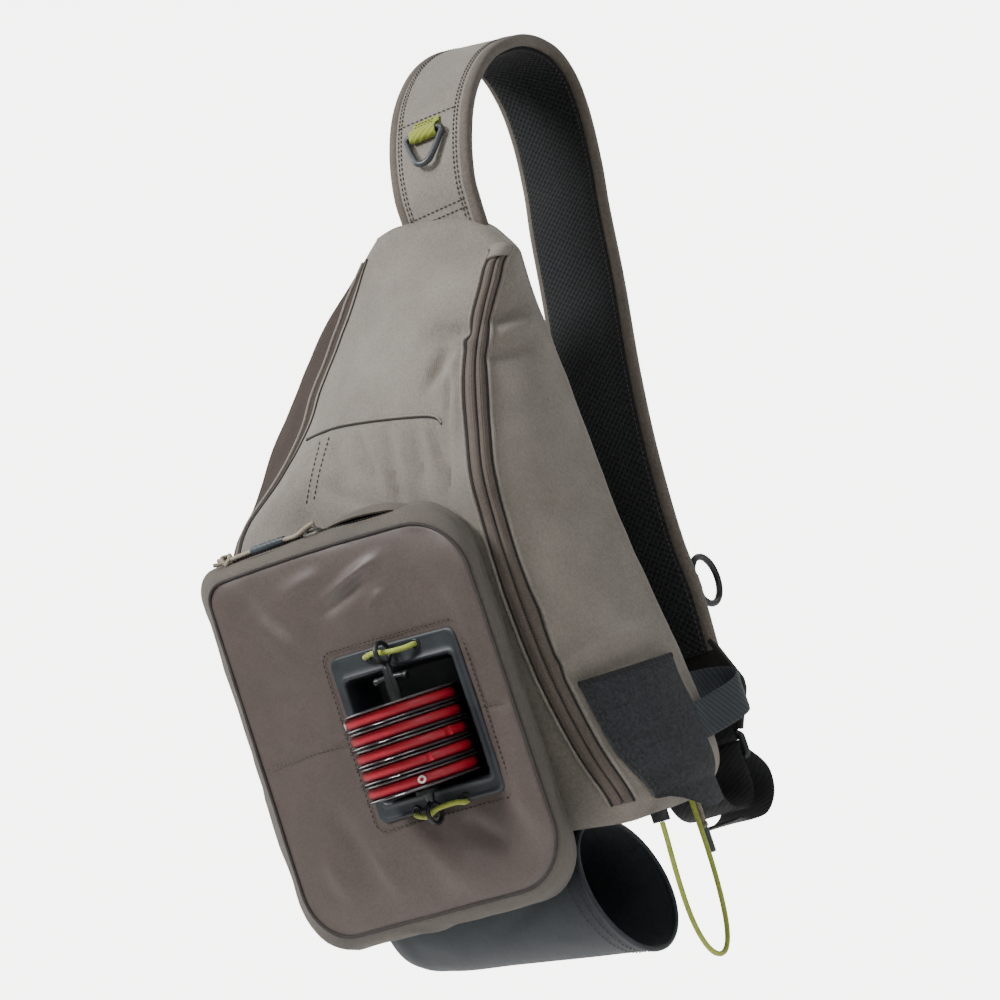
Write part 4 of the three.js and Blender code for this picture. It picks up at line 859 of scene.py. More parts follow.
SEAM_POINTS = [
    [-90, 294], [-65, 293], [-42, 289], [-5, 280], [14, 274.5], [20, 272], [24, 269], [25.5, 265.5]
]
seam = curve(np.c_[SEAM_POINTS, np.zeros(8)], 110)[:, :2]
seam_line = onto_front(seam, 0.35)
groove_line = onto_front(seam - [0.3, 1.4], 0.05)
upright = [
    onto_front(curve([[x0, 288, 0], [x1, 248, 0]], 40)[:, :2], 0.15) for x0,
    x1 in ((-67, -86.6), (-76, -92.7))
]
welt_levels = np.linspace(0.56, 0.975, 120)
welt_rows, welt_out = on_pack("corner", 1, welt_levels, np.linspace(0, 0.6, 7), 0.4)
piece(
    "front_welts",
    merged(tube(seam_line, 0.8, (0, 1, 0.3), 8), tube(welt_rows[:, 1], 1.3, (0, 1, 0.3), 8)),
    PACK_NYLON, "taupe_nylon"
)
# Dark lines in the grooves under the welts: painted shade.
grooves = merged(
    tube(groove_line, 0.55, (0, 1, 0.3), 8),
    tube(welt_rows[:, 4] - welt_out[:, 4] * 0.2, 0.7, (0, 1, 0.3), 8)
)
piece("front_grooves", grooves, SEAM_SHADE_LINE, "taupe_nylon")
piece(
    "front_stitches", merged(*[stitches(line, (0, -1, 0.3)) for line in upright]), THREAD_TAUPE,
    "taupe_nylon"
)

# %% [markdown]
# ## The main zip
# A reversed coil zip runs up the front right corner: the coil lies inside, so two ribbed tapes
# show, with a thin dark slot between them. Down both sides run a soft welt and a dark line of
# painted shade along the seam, and a small hood covers the upper end.

# %% Main zip
ZIP_LOW, ZIP_HIGH, TAPE_HALF = 0.03, 0.9, 6.8
zip_levels = np.linspace(ZIP_LOW, ZIP_HIGH, 260)
zip_ease = np.clip(np.minimum(zip_levels - ZIP_LOW, ZIP_HIGH - zip_levels) * 60, 0, 1)[:, None]
across_zip = np.linspace(-1, 1, 33)


def beside_zip(levels, distance):
    """Where points that lie so many millimetres beside the corner's middle are along it: 0.5 +
    distance / length of the corner."""
    arc = body_part("corner", 2, levels, np.linspace(0, 1, 9))
    long = np.linalg.norm(np.diff(arc, axis=1), axis=2).sum(axis=1)
    return 0.5 + np.asarray(distance) / long[:, None]


tape_height = (
    0.5
    + 0.9 * np.exp(-(((np.abs(across_zip) - 0.48) / 0.3) ** 4))
    - 1.1 * np.exp(-((across_zip / 0.07) ** 2))
)
tape_height = tape_height + 0.12 * np.cos(across_zip * 34)
zip_strip, zip_out = on_pack(
    "corner", 2, zip_levels, beside_zip(zip_levels, TAPE_HALF * across_zip), 0.0
)
zip_strip = zip_strip + zip_out * (tape_height * (0.3 + 0.7 * zip_ease))[..., None]
coil_line, coil_out = zip_strip[:, 16], zip_out[:, 16]
coil_side = np.cross(unit(np.gradient(coil_line, axis=0)), coil_out)
piece("main_zip_tape", slab(zip_strip, 1.0, zip_out), TAPE_NYLON, "zip_coil", "main_zipper")


def bars(line, side, out, pitch, long, radius, lift):
    """A coil's bars: the stitch shape, turned across the line."""
    far = lengths(line)
    at = np.arange(pitch, far[-1] - pitch, pitch)
    shapes = []
    for sign in (-1, 1):
        here = np.stack([np.interp(at + sign * pitch / 4, far, c) for c in line.T], 1)
        sides = unit(np.stack([np.interp(at, far, c) for c in side.T], 1))
        outs = unit(np.stack([np.interp(at, far, c) for c in out.T], 1))
        shapes.append((here + sides * sign * long * 0.3 + outs * lift, sides, outs))
    here, sides, outs = (np.concatenate(parts) for parts in zip(*shapes))
    ends = np.stack([here - sides * long / 2, here + sides * long / 2], 1)
    third = np.cross(sides, outs)
    a = np.arange(6)[None, None, :, None] * np.pi / 3
    ring = radius * (np.cos(a) * third[:, None, None] + np.sin(a) * outs[:, None, None])
    points = (ends[:, :, None] + ring).reshape(-1, 3)
    j = np.arange(6)
    quads = np.stack([j, (j + 1) % 6, 6 + (j + 1) % 6, 6 + j], -1)
    quads = np.concatenate([quads, [[0, 3, 2, 1], [0, 5, 4, 3], [6, 7, 8, 9], [6, 9, 10, 11]]])
    quads = (quads[None] + 12 * np.arange(len(here))[:, None, None]).reshape(-1, 4)
    return outward(points, quads, NO_TRIS, np.zeros((len(quads), 4, 2)), NO_UV)


piece(
    "main_zip_coil", bars(coil_line, coil_side, coil_out, 1.7, 1.6, 0.5, 0.35), COIL_NYLON,
    "zip_coil"
)
seam_levels = np.linspace(ZIP_LOW, 0.928, 260)
beside = {}
for at in (-9.4, -7.4, 7.4, 9.6):
    shares = beside_zip(seam_levels, at + np.array([-0.5, 0, 0.5]))
    beside[at] = on_pack("corner", 2, seam_levels, shares, 0.3)[0][:, 1]
welts = [tube(beside[at], radius, (0, 1, 0.2), 10) for at, radius in ((-9.4, 1.2), (9.6, 1.5))]
# The dark lines along the seams beside the zip are painted shade.
seams = [tube(beside[at], 0.75, (0, 1, 0.2), 8) for at in (-7.4, 7.4)]
piece("main_zip_welts", merged(*welts), PACK_NYLON, "taupe_nylon")
piece("main_zip_seam_shading", merged(*seams), SEAM_SHADE_LINE, "taupe_nylon")
hood_levels = np.linspace(0.892, 0.934, 16)
dome = np.sin(np.linspace(0.15, np.pi - 0.15, 16))[None, :, None]
hood_share = beside_zip(hood_levels, np.linspace(-7.2, 7.2, 16))
hood, hood_out = on_pack("corner", 2, hood_levels, hood_share, 2.2)
piece(
    "main_zip_hood", slab(hood + hood_out * dome * 0.9, 1.6, hood_out), PACK_NYLON, "taupe_nylon",
    "zip_garage"
)

# %% [markdown]
# ## The front pocket
# The pocket is a box of cloth: a gusset runs round it from the pack to its stiff coated face,
# and a dark piping covers the seam between them. Each section of it is a rounded rectangle, and
# a short table says how the sections change from the pack to the face.


# %% Rounded loops
def rounded_loop(left, right, foot, top, radius, corner=12, straight=26, rounds=(1, 1, 1, 1)):
    """A rounded rectangle as (x, z) points, counter-clockwise from its lower right corner. Each
    argument may be a number or a column with one value for each loop, and rounds gives each
    corner's share of the radius."""
    left, right, foot, top, radius = np.broadcast_arrays(*np.atleast_1d(left, right, foot, top, radius))
    a = np.linspace(0, np.pi / 2, corner)[None]
    r = [radius * share for share in rounds]
    centres = [(right - r[0], foot + r[0], r[0]), (right - r[1], top - r[1], r[1]),
               (left + r[2], top - r[2], r[2]), (left + r[3], foot + r[3], r[3])]  # fmt: skip
    arcs = []
    for i, (x, z, r) in enumerate(centres):
        turn = a + (i - 1) * np.pi / 2
        arcs.append(np.stack([x[:, None] + r[:, None] * np.cos(turn), z[:, None] + r[:, None] * np.sin(turn)], -1))
    t = (np.arange(1, straight) / straight)[None, :, None]
    loop = []
    for i, arc in enumerate(arcs):
        following = arcs[(i + 1) % 4]
        loop += [arc, arc[:, -1:] + (following[:, :1] - arc[:, -1:]) * t]
    return np.concatenate(loop, axis=1)


def standing(loop, y):
    """A line of (x, z) points, stood up at one depth."""
    return np.stack([loop[:, 0], np.full(len(loop), y), loop[:, 1]], -1)


POCKET_X, POCKET_Z, POCKET_HALF, POCKET_HALF_HIGH, POCKET_ROUND = -64.0, 100.0, 108.0, 118.5, 34.0
POCKET_BACK, POCKET_DEPTH = -95.3, 38.5
# out, left, right, foot, top, round: how far from the pack, and shares of the sizes above
POCKET_TABLE = np.array([
    [-0.06, 1.010, 0.820, 1.070, 1.085, 0.92],
    [0.00, 1.056, 0.852, 1.100, 1.105, 0.95],
    [0.35, 1.080, 0.926, 1.115, 1.112, 1.05],
    [0.80, 0.965, 1.000, 1.070, 1.060, 1.05],
    [0.96, 0.875, 1.000, 1.025, 1.010, 1.00],
    [1.00, 0.850, 0.985, 1.005, 0.990, 0.94],
])  # fmt: skip


def pocket_loops(out):
    """The pocket's sections, each as (x, y, z) in bag millimetres."""
    left, right_side, foot, head, radius = smooth(POCKET_TABLE[:, 0], POCKET_TABLE[:, 1:], out).T
    flat = rounded_loop(
        POCKET_X - POCKET_HALF * left, POCKET_X + POCKET_HALF * right_side,
        POCKET_Z - POCKET_HALF_HIGH * foot, POCKET_Z + POCKET_HALF_HIGH * head,
        POCKET_ROUND * radius,
        rounds=(1.1, 1.1, 0.42, 1.0),
    )  # fmt: skip
    y = np.broadcast_to((POCKET_BACK - POCKET_DEPTH * out)[:, None], flat.shape[:2])
    return np.stack([flat[..., 0], y, flat[..., 1]], -1)


GUSSET_FOLDS = [
    ((-160, -112, -16), (-90, -118, -33), 5, -2.6),
    ((-96, -128, -26), (-58, -104, -32), 5, 2.6),
    ((-34, -126, -24), (24, -108, -14), 6, 3.0),
    ((-10, -128, -22), (30, -118, -4), 4, -2.2),
    ((-100, -104, -38), (-20, -112, -30), 5, -2.4),
    ((-60, -122, -30), (10, -106, -20), 4, 1.6),
    ((-184, -110, 180), (-178, -126, 120), 7, -1.6),
    ((-182, -112, 90), (-176, -122, 20), 7, 1.5),
    ((36, -106, 190), (44, -124, 150), 6, -1.5),
    ((38, -104, 110), (44, -126, 60), 7, 1.6),
    ((34, -104, 40), (40, -120, 6), 6, -1.4),
    ((-150, -112, 222), (-110, -120, 226), 6, -1.4),
]
out = np.linspace(-0.06, 0.965, 34)
gusset = pocket_loops(out)
loop_out = unit(np.cross(np.gradient(gusset, axis=0), np.roll(gusset, -1, axis=1) - np.roll(gusset, 1, axis=1)))
loop_out *= np.sign(np.einsum("rci,rci->rc", loop_out, gusset - [POCKET_X, -110, POCKET_Z]))[..., None]
ease = np.sin(np.pi * np.clip((out + 0.06) / 1.03, 0.02, 0.98))[:, None]
gusset_bumps = (
    1.0 * value_noise(gusset, 26, 11)
    + 0.5 * value_noise(gusset, 11, 12)
    + creases(gusset, GUSSET_FOLDS)
)
gusset = gusset + loop_out * (gusset_bumps * ease)[..., None]
inner_gusset = (gusset - loop_out * 1.6)[:1:-1]
piece(
    "pocket_gusset", skin(np.concatenate([gusset, inner_gusset])), GUSSET_NYLON, "coated_nylon",
    "front_pocket", slope=True
)
edge_line = pocket_loops(np.array([0.965]))[0]

# %% [markdown]
# The face is one sheet from the piping to the edge of the spool dock. It is stiff, so it bulges
# a little and keeps a few long creases. A seam crosses it on either side of the dock.

# %% Pocket face
DOCK_X, DOCK_FOOT, DOCK_WIDE, DOCK_HIGH = -28.0, 42.0, 98.0, 108.0
dock_loop = rounded_loop(
    DOCK_X - 46.5, DOCK_X + 46.5, DOCK_FOOT + 2.5, DOCK_FOOT + DOCK_HIGH - 2.5, 5.0
)[0]
dock_edge = standing(dock_loop, -133.6)
FACE_FOLDS = [
    ((-70, -134, 184), (-16, -134, 206), 3.4, 2.6),
    ((-74, -134, 178), (-24, -134, 195), 5.0, -1.8),
    ((-36, -134, 168), (-22, -134, 186), 3.0, 2.0),
    ((-130, -134, 200), (-96, -134, 150), 9.0, 1.5),
    ((-150, -134, 150), (-90, -134, 120), 12.0, -1.2),
    ((-104, -134, 196), (-60, -134, 206), 6.0, 1.4),
    ((18, -134, 180), (34, -134, 120), 6.0, 1.2),
    ((-110, -134, 60), (-96, -134, 0), 8.0, -1.8),
    ((-90, -134, 36), (-78, -134, -8), 5.0, 1.8),
    ((-128, -134, 40), (-120, -134, 0), 7.0, 1.4),
    ((-48, -134, 30), (-30, -134, -12), 7.0, 1.5),
    ((-16, -134, 34), (10, -134, 6), 6.0, -1.3),
    ((-155, -134, 30), (-130, -134, 80), 9.0, 1.0),
    ((22, -134, 60), (36, -134, 10), 6.0, 1.2),
]
share = np.r_[np.linspace(0, 0.1, 7)[:-1], np.linspace(0.1, 1, 46)][:, None, None]
face = edge_line + (dock_edge - edge_line) * share
radial = share[:, :, 0]
bulge = 1.6 * np.sin(np.pi * np.clip(radial, 0, 1)) + 1.0 * (1 - np.exp(-radial / 0.04))
face_ease = np.clip(radial * 14, 0, 1) * np.clip((1 - radial) * 10, 0, 1)
seam_dip = -1.3 * np.exp(-(((face[..., 2] - 98.0) / 1.3) ** 2))
face_bumps = (
    0.7 * value_noise(face, 38, 21)
    + 0.35 * value_noise(face, 15, 22)
    + 1.5 * creases(face, FACE_FOLDS, (1, 0.4, 1))
    + seam_dip
)
face[..., 1] -= bulge + face_bumps * face_ease
face_uv = np.concatenate([face, face[:, :1]], axis=1)[..., [0, 2]] / 1000.0
inner = face[::-1] + np.array([0, 1.6, 0])
both_uv = np.concatenate([face_uv, face_uv[::-1]])
face_shape = skin(
    np.concatenate([face, inner]), ring=True, uv=np.concatenate([both_uv, both_uv[:1]])
)
piece("pocket_face", face_shape, COATED_NYLON, "coated_nylon", slope=True)
piping_line = edge_line + np.array([0, -0.6, 0])
piping_line = piping_line + np.array([0, 0.35, 0]) * value_noise(piping_line, 12, 31)[:, None]
piece(
    "pocket_piping", tube(piping_line, 1.15, (0, 1, 0), 10, ring=True), PIPING, "coated_nylon",
    slope=True
)

seam_threads = []
for x0, x1 in ((-152, -80), (23, 41)):
    line = np.stack([np.linspace(x0, x1, 60), np.full(60, -135.7), np.full(60, 96.2)], 1)
    seam_threads.append(stitches(line, (0, -1, 0)))
piece("pocket_stitches", merged(*seam_threads), THREAD_TAUPE, "coated_nylon", slope=True)

# %% [markdown]
# Above the face the gusset folds over the pocket's zip, so only the slider, the upper coil and
# the pull show. The pull is a doubled cord through a grip tube, tied off in a knot.

# %% Pocket zip
TOP_Z, ZIP_Y = 229.0, -117.4
x = np.linspace(-150, 6, 90)
u = (x - x[0]) / (x[-1] - x[0])
ends = np.clip(np.minimum(u, 1 - u) * 9, 0, 1)
strip_line = np.stack([x, np.full_like(x, ZIP_Y), TOP_Z + 0.6 - 5.0 * (1 - ends) ** 2], 1)
piece(
    "pocket_zip_tape", band(strip_line, 9.6, 1.2, (0, 1, 0.32)), TAPE_NYLON, "zip_coil",
    "pocket_zipper", slope=True
)
coil = strip_line + np.array([0, -0.3, 0.9])
towards_face = np.broadcast_to(unit(np.array([0, -0.94, -0.34])), coil.shape)
up_and_out = np.broadcast_to(unit(np.array([0, -0.34, 0.94])), coil.shape)
piece(
    "pocket_zip_coil", bars(coil, towards_face, up_and_out, 2.4, 3.2, 0.75, 0.2), COIL_NYLON,
    "zip_coil", slope=True
)
fold_x = np.linspace(-62, 14, 70)
f = (fold_x + 62) / 76
fold_top = np.stack(
    [fold_x, -112 + 3 * f, 231.5 + 3.4 * np.sin(np.pi * np.clip(f * 1.05, 0, 1)) - 9 * f**5], 1
)
fold_rows = [fold_top + np.array([0, dy, dz]) * (0.35 + 0.65 * np.sin(np.pi * np.clip(f, 0.02, 0.98)))[:, None]
             for dy,
             dz in ((6.5, -1.5), (4, 0.7), (0, 1.6), (-4.5, 1.0), (-8.5, -0.8), (-10.5, -2.6))]  # fmt: skip
fold_grid = np.stack(fold_rows, 0)
fold_grid = fold_grid + up_and_out[0] * (0.5 * value_noise(fold_grid, 9, 41))[..., None]
piece("pocket_zip_fold", slab(fold_grid, 1.3), GUSSET_NYLON, "coated_nylon", slope=True)


def loop_path(points, count):
    """A closed smooth line through chosen points."""
    points = np.asarray(points, float)
    again = np.concatenate([points[-3:], points, points[:3]])
    x = np.r_[0, np.cumsum(np.linalg.norm(np.diff(again, axis=0), axis=1))]
    return smooth(x, again, np.linspace(x[3], x[3 + len(points)], count, endpoint=False))


SLIDER_X = -71.0
slider_outline = rounded_loop(-6.5, 6.5, -4.3, 4.3, 2.6, 8, 6)[0]
slider_levels = np.array([[0.88, 0.4], [1.0, 1.0], [1.0, 2.4], [0.94, 3.3], [0.8, 3.7]])
slider = np.stack([
    np.stack([SLIDER_X + slider_outline[:, 0] * s * (1 - 0.12 * (slider_outline[:, 0] > 0)),
              ZIP_Y - slider_outline[:, 1] * s * 0.94 - h * 0.34,
              TOP_Z - slider_outline[:, 1] * s * 0.34 + h * 0.94], -1)
    for s, h in slider_levels
])  # fmt: skip
bridge = curve([
    [SLIDER_X - 4.6, ZIP_Y - 1.2, TOP_Z + 3.6], [SLIDER_X - 2.5, ZIP_Y - 1.9, TOP_Z + 6.0],
                [SLIDER_X + 2, ZIP_Y - 1.9, TOP_Z + 6.2],
                [SLIDER_X + 4.6, ZIP_Y - 1.2, TOP_Z + 3.6]], 20)  # fmt: skip
piece(
    "pocket_slider", merged(skin(slider), tube(bridge, 1.1, (0, 1, 0), 8)), GUNMETAL,
    "grey_plastic", "pocket_zip_slider", slope=True
)

PULL_Z = TOP_Z + 3.9
pull_points = [
    [
        [-68, -118.6, 4.2], [-73, -116.4, 3.2], [-79, -116.2, 1.2], [-86, -116.6, 0.0],
        [-94, -117.2, 0], [-122, -117.6, 0], [-134, -116.8, -0.4], [-143, -116, -0.6]
    ],
    [
        [-68, -118.6, 4.2], [-73, -121.4, 2.6], [-79, -121.0, 0.6], [-86, -119.6, -0.4],
        [-94, -118.6, 0], [-122, -118.4, 0], [-134, -119.6, -0.2], [-143, -119.6, -0.4]
    ],
]  # fmt: skip
cords = [tube(curve(np.array(p) + [0, 0, PULL_Z], 60), 1.45, (0, 0, 1), 9) for p in pull_points]
knot_a = loop_path(
    [[-143, -115.5, -2.5], [-146, -120.5, -1.5], [-148.5, -119, 2.5], [-146, -114.5, 2.6], [-142.5, -117, 1.5]] + np.array([0, 0, PULL_Z]),
    40
)
knot_b = loop_path(
    [[-141.5, -119.8, 0.6], [-144.5, -121, -2.4], [-147.5, -117, -2.6], [-147.5, -114.6, 1.4], [-143.5, -116.5, 3.0]] + np.array([0, 0, PULL_Z]),
    40
)
tails = [curve(np.array(p) + [0, 0, PULL_Z], 16) for p in (
    [[-147, -117, 0], [-151, -115.5, 0.6], [-155.5, -115.0, 2.6]],
    [[-147, -118.5, 0], [-151, -120, -0.6], [-154.5, -122.4, -0.2]],
)]  # fmt: skip
knots = (
    [tube(knot_a, 1.5, (0.3, 1, 0.2), 9, True), tube(knot_b, 1.5, (0.3, 0.2, 1), 9, True)]
    + [tube(t, 1.4, (0, 0, 1), 9) for t in tails]
)
piece(
    "pocket_pull_cord", merged(*cords, *knots), BEIGE_CORD, "pale_cord", "pocket_zip_pull",
    slope=True
)
grip_x = np.linspace(-123, -95, 26)
grip_r = (
    2.7
    + 0.18 * np.cos((grip_x + 123) / 28 * 2 * np.pi * 7)
    - 0.5 * (np.abs(grip_x + 109) > 13.5)
)
grip = np.stack([grip_x, np.full(26, -118.0), np.full(26, PULL_Z)], 1)
piece("pocket_pull_grip", tube(grip, grip_r, (0, 0, 1), 16), GRIP_TUBE, "grey_plastic", slope=True)

# %% [markdown]
# ## The spool dock
# A rubber tray is stitched into the pocket's face. Five spools stand in it on a rubber tether,
# half sunk, and two green cords hold the tether's eyes through holes in the tray's flange.

# %% Dock tray
flange = rounded_loop(
    DOCK_X - DOCK_WIDE / 2, DOCK_X + DOCK_WIDE / 2, DOCK_FOOT, DOCK_FOOT + DOCK_HIGH, 6.0
)[0]
recess = rounded_loop(DOCK_X - 42, DOCK_X + 42, DOCK_FOOT + 12, DOCK_FOOT + DOCK_HIGH - 16, 4.0)[0]
FLANGE_BACK = -134.1
# mix from the flange's outline to the recess's, inset, height in front of the face
DOCK_TABLE = [
    (0, 0.4, 0.0), (0, 0.0, 0.6), (0, 0.0, 1.7), (0, 0.7, 2.4), (0, 2.2, 2.5), (0, 3.0, 2.1),
    (0, 3.8, 2.0),
    (0.5, 1.6, 2.0), (1, -3.2, 2.1), (1, -2.4, 2.7), (1, -1.2, 3.0), (1, -0.3, 2.4), (1, 0.2, 1.0),
    (1, 0.6, -4.0),
    (1, 1.2, -16.0), (1, 2.0, -25.5), (1, 3.5, -27.6), (1, 8.0, -28.0), (1, 24.0, -28.0),
    (1, 39.6, -28.0),
]  # fmt: skip


def inset(loop, distance):
    """Moves a loop inwards: each point goes towards the middle, by the same on each axis."""
    centre = (loop.max(0) + loop.min(0)) / 2
    half = (loop.max(0) - loop.min(0)) / 2
    return centre + (loop - centre) * (half - distance) / half


def dock_loops(table, thick=0.0):
    """The tray's sections from its outer edge down to its floor."""
    rows = []
    for mix, step, height in table:
        flat = inset(flange, step) * (1 - mix) + inset(recess, step - thick) * mix
        rows.append(standing(flat, FLANGE_BACK - height))
    return rows


outside = [
    (1, -2.0, 0.0), (1, -1.6, -14), (1, 0.0, -28.0), (1, 2.0, -29.8), (1, 8.0, -30.0),
    (1, 39.6, -29.8)
]
dock_rows = dock_loops(DOCK_TABLE[::-1]) + dock_loops(outside)
piece("dock_tray", skin(np.stack(dock_rows)), DOCK_RUBBER, "dock_rubber", "spool_dock", slope=True)
hem = rounded_loop(
    DOCK_X - 53.5, DOCK_X + 53.5, DOCK_FOOT - 4.5, DOCK_FOOT + DOCK_HIGH + 4.5, 7.0
)[0]
hem_line = standing(hem, -136.0)
hem_line = np.concatenate([hem_line, hem_line[:1]])
piece(
    "dock_stitches", stitches(hem_line, (0, -1, 0), 3.4, 2.2, 0.5), THREAD_BROWN, "dock_rubber",
    slope=True
)

# %% Spools
SPOOL_Y, SPOOL_FOOT, SPOOL_PITCH, SPOOL_TALL = -145.1, 54.0 + 2.2 + 0.4, 10.9, 10.5


def spin(profile, middle, steps=72):
    """A closed profile of (radius, height) turned round an upright axis."""
    a = np.linspace(0, 2 * np.pi, steps, endpoint=False)[:, None]
    radius, height = np.asarray(profile, float).T
    ring = np.stack([radius * np.cos(a), radius * np.sin(a), height + 0 * a], -1) + middle
    return skin(ring, ring=True)


# radius, height: the hub's bore, the lower rim, the core between, and the upper rim
SPOOL_PROFILE = [
    (4.2, 0.0), (9.0, 0.0), (10.0, 0.5), (34.6, 0.5), (35.6, 0.0), (37.0, 0.15), (37.5, 0.75),
    (37.2, 1.35), (36.2, 1.6),
    (32.6, 1.7), (31.2, 2.4), (31.2, 8.1), (32.6, 8.8), (36.2, 8.9), (37.2, 9.15), (37.5, 9.75),
    (37.0, 10.35),
    (35.6, 10.5), (34.6, 10.0), (10.0, 10.0), (9.0, 10.5), (4.2, 10.5), (4.2, 5.0),
]  # fmt: skip
BAND_PROFILE = [
    (31.4, 2.2), (33.2, 2.0), (34.3, 2.8), (34.6, 5.25), (34.3, 7.7), (33.2, 8.5), (31.4, 8.3),
    (31.3, 5.0)
]
TAB_OUT = 33.9
for i in range(5):
    at = np.array([DOCK_X, SPOOL_Y, SPOOL_FOOT + i * SPOOL_PITCH])
    body = f"spool_body_{i + 1}"
    piece(
        f"spool_{i + 1}_rims", spin(SPOOL_PROFILE, at), SMOKE_STYRENE, "red_plastic",
        f"spool_{i + 1}", body=body
    )
    wound = spin(BAND_PROFILE, at)
    if i in (1, 2):
        turn = 0.3 + 0.5 * i
        tab_at = np.array([TAB_OUT * np.sin(turn), -TAB_OUT * np.cos(turn), 5.0]) + at
        tab_line = np.stack([tab_at + [-3, 0.5 + 0.3 * i, 0], tab_at, tab_at + [4.4, 0.8, 0.6]])
        wound = merged(wound, band(tab_line, 5.6, 1.0, (0, 0, 1)))
    piece(f"spool_{i + 1}_band", wound, RED_ELASTIC, "red_plastic", body=body)
for i, turn in ((4, -0.95), (0, 0.62)):
    out_way = np.array([np.sin(turn), -np.cos(turn), 0])
    at = np.array([DOCK_X, SPOOL_Y, SPOOL_FOOT + i * SPOOL_PITCH + 5.2]) + out_way * 34.9
    a = np.linspace(0, 2 * np.pi, 24, endpoint=False)[:, None]
    eyelet_line = (
        at
        + 1.9 * (np.cos(a) * np.array([-out_way[1], out_way[0], 0]) + np.sin(a) * np.array([0, 0, 1.0]))
    )
    piece(
        f"spool_{i + 1}_eyelet", tube(eyelet_line, 0.7, out_way, 8, True), WHITE_EYELET,
        "red_plastic", body=f"spool_body_{i + 1}"
    )

# %% Tether and toggle cords
EYE_TOP, EYE_FOOT = 145.0, 41.0


def eye(z):
    return torus(np.array([DOCK_X, SPOOL_Y, z]), 6.6, 1.5, "x")


shaft_z = np.array([47.3, 48.5, 51, 53.9, 54.0, 56.2, 56.3, 70, 100, 112, 114, 126, 134, 137.5, 138.8])
shaft_r = np.array([1.4, 2.4, 3.2, 3.6, 7.4, 7.4, 3.7, 3.7, 3.7, 3.7, 3.4, 3.4, 3.4, 2.4, 1.4])
shaft = np.stack([np.full(15, DOCK_X), np.full(15, SPOOL_Y), shaft_z], 1)
cross_x = np.linspace(-12.5, 12.5, 21)
cross_r = 1.9 + 0.9 * np.exp(-((np.abs(cross_x) - 11.4) ** 2) / 1.4)
cross_line = np.stack(
    [DOCK_X + cross_x, SPOOL_Y + 0.004 * cross_x**2, 129.0 - 0.008 * cross_x**2], 1
)
strands = [curve([[DOCK_X + s * 2.0, SPOOL_Y - 0.4, 112], [DOCK_X + s * 2.7, SPOOL_Y - 0.6, 120],
                  [DOCK_X + s * 2.2, SPOOL_Y - 0.4, 131]], 24) for s in (-1, 1)]  # fmt: skip
tether = merged(
    tube(shaft, shaft_r, (0, 1, 0), 20), tube(cross_line, cross_r, (0, 1, 0), 12), eye(EYE_TOP),
    eye(EYE_FOOT),
    *[tube(s, 1.9, (0, 1, 0), 10) for s in strands],
)  # fmt: skip
piece("tether_rubber", tether, BLACK_RUBBER, "black_rubber", "spool_tether", slope=True)


def toggle(z, sway):
    """A short cord from one hole in the flange, through the tether's eye, to the other hole."""
    front = FLANGE_BACK - 2.6
    points = [
        [-19, front + 1.6, 0], [-18.6, front - 2.2, 0], [-15, -140.6, sway], [-6, -144.4, sway * 2],
        [0, -145.1, 0],
              [6, -144.4, -sway], [15, -140.6, -sway], [18.6, front - 2.2, 0], [19, front + 1.6, 0]]  # fmt: skip
    return tube(curve(np.array(points) + [DOCK_X, 0, z], 60), 1.75, (0, 0, 1), 12)


piece(
    "toggle_cord_upper", toggle(EYE_TOP, 0.6), GREEN_CORD, "green_cord", "toggle_cord_top",
    slope=True
)
piece(
    "toggle_cord_lower", toggle(EYE_FOOT + 1.2, -1.2), GREEN_CORD, "green_cord", "toggle_cord_foot",
    slope=True
)
holes = [
    torus(np.array([DOCK_X + s * 19, FLANGE_BACK - 2.3, z]), 2.6, 0.8, "y", 24, 8) for s in (-1, 1)
    for z in (EYE_TOP, EYE_FOOT + 1.2 + 2.4)
]
piece("dock_eyelets", merged(*holes), BLACK_RUBBER, "dock_rubber", slope=True)

# %% [markdown]
# ## The sleeve under the pack
# The sleeve is a cup of tight cloth on its side under the pack: closed on the left, open on the
# right. Its mouth is cut on a slant and turned in as a hem.

# %% Sleeve
SLEEVE_RADIUS, SLEEVE_LENGTH, SLEEVE_LEFT, MOUTH_SLANT = 42.5, 188, -150, 0.27
# share of the length, height, depth: shares of the radius
SLEEVE_TABLE = np.array([
    [0, 0.62, 0.50], [0.025, 0.80, 0.70], [0.08, 0.93, 0.88], [0.18, 0.99, 0.97],
    [0.45, 1, 1], [0.75, 1, 1], [1, 1, 1],
])  # fmt: skip


def sleeve_rows(along, inset_by):
    """Ellipses along the sleeve; each is shifted towards the closed end in step with its height,
    which slants the mouth."""
    tall, deep = smooth(SLEEVE_TABLE[:, 0], SLEEVE_TABLE[:, 1:], along).T
    a = np.linspace(0, 2 * np.pi, 96, endpoint=False)[None]
    rise = (SLEEVE_RADIUS * tall - inset_by)[:, None] * np.sin(a)
    depth = (SLEEVE_RADIUS * deep - inset_by)[:, None] * np.cos(a)
    along = along[:, None]
    x = SLEEVE_LEFT + inset_by * (1 - along) + SLEEVE_LENGTH * along
    x = x - MOUTH_SLANT * (rise + SLEEVE_RADIUS) * along
    return np.stack([x, -52 + depth, FOOT_SLOPE * (FOOT_X - x) - 42.8 + rise], -1)


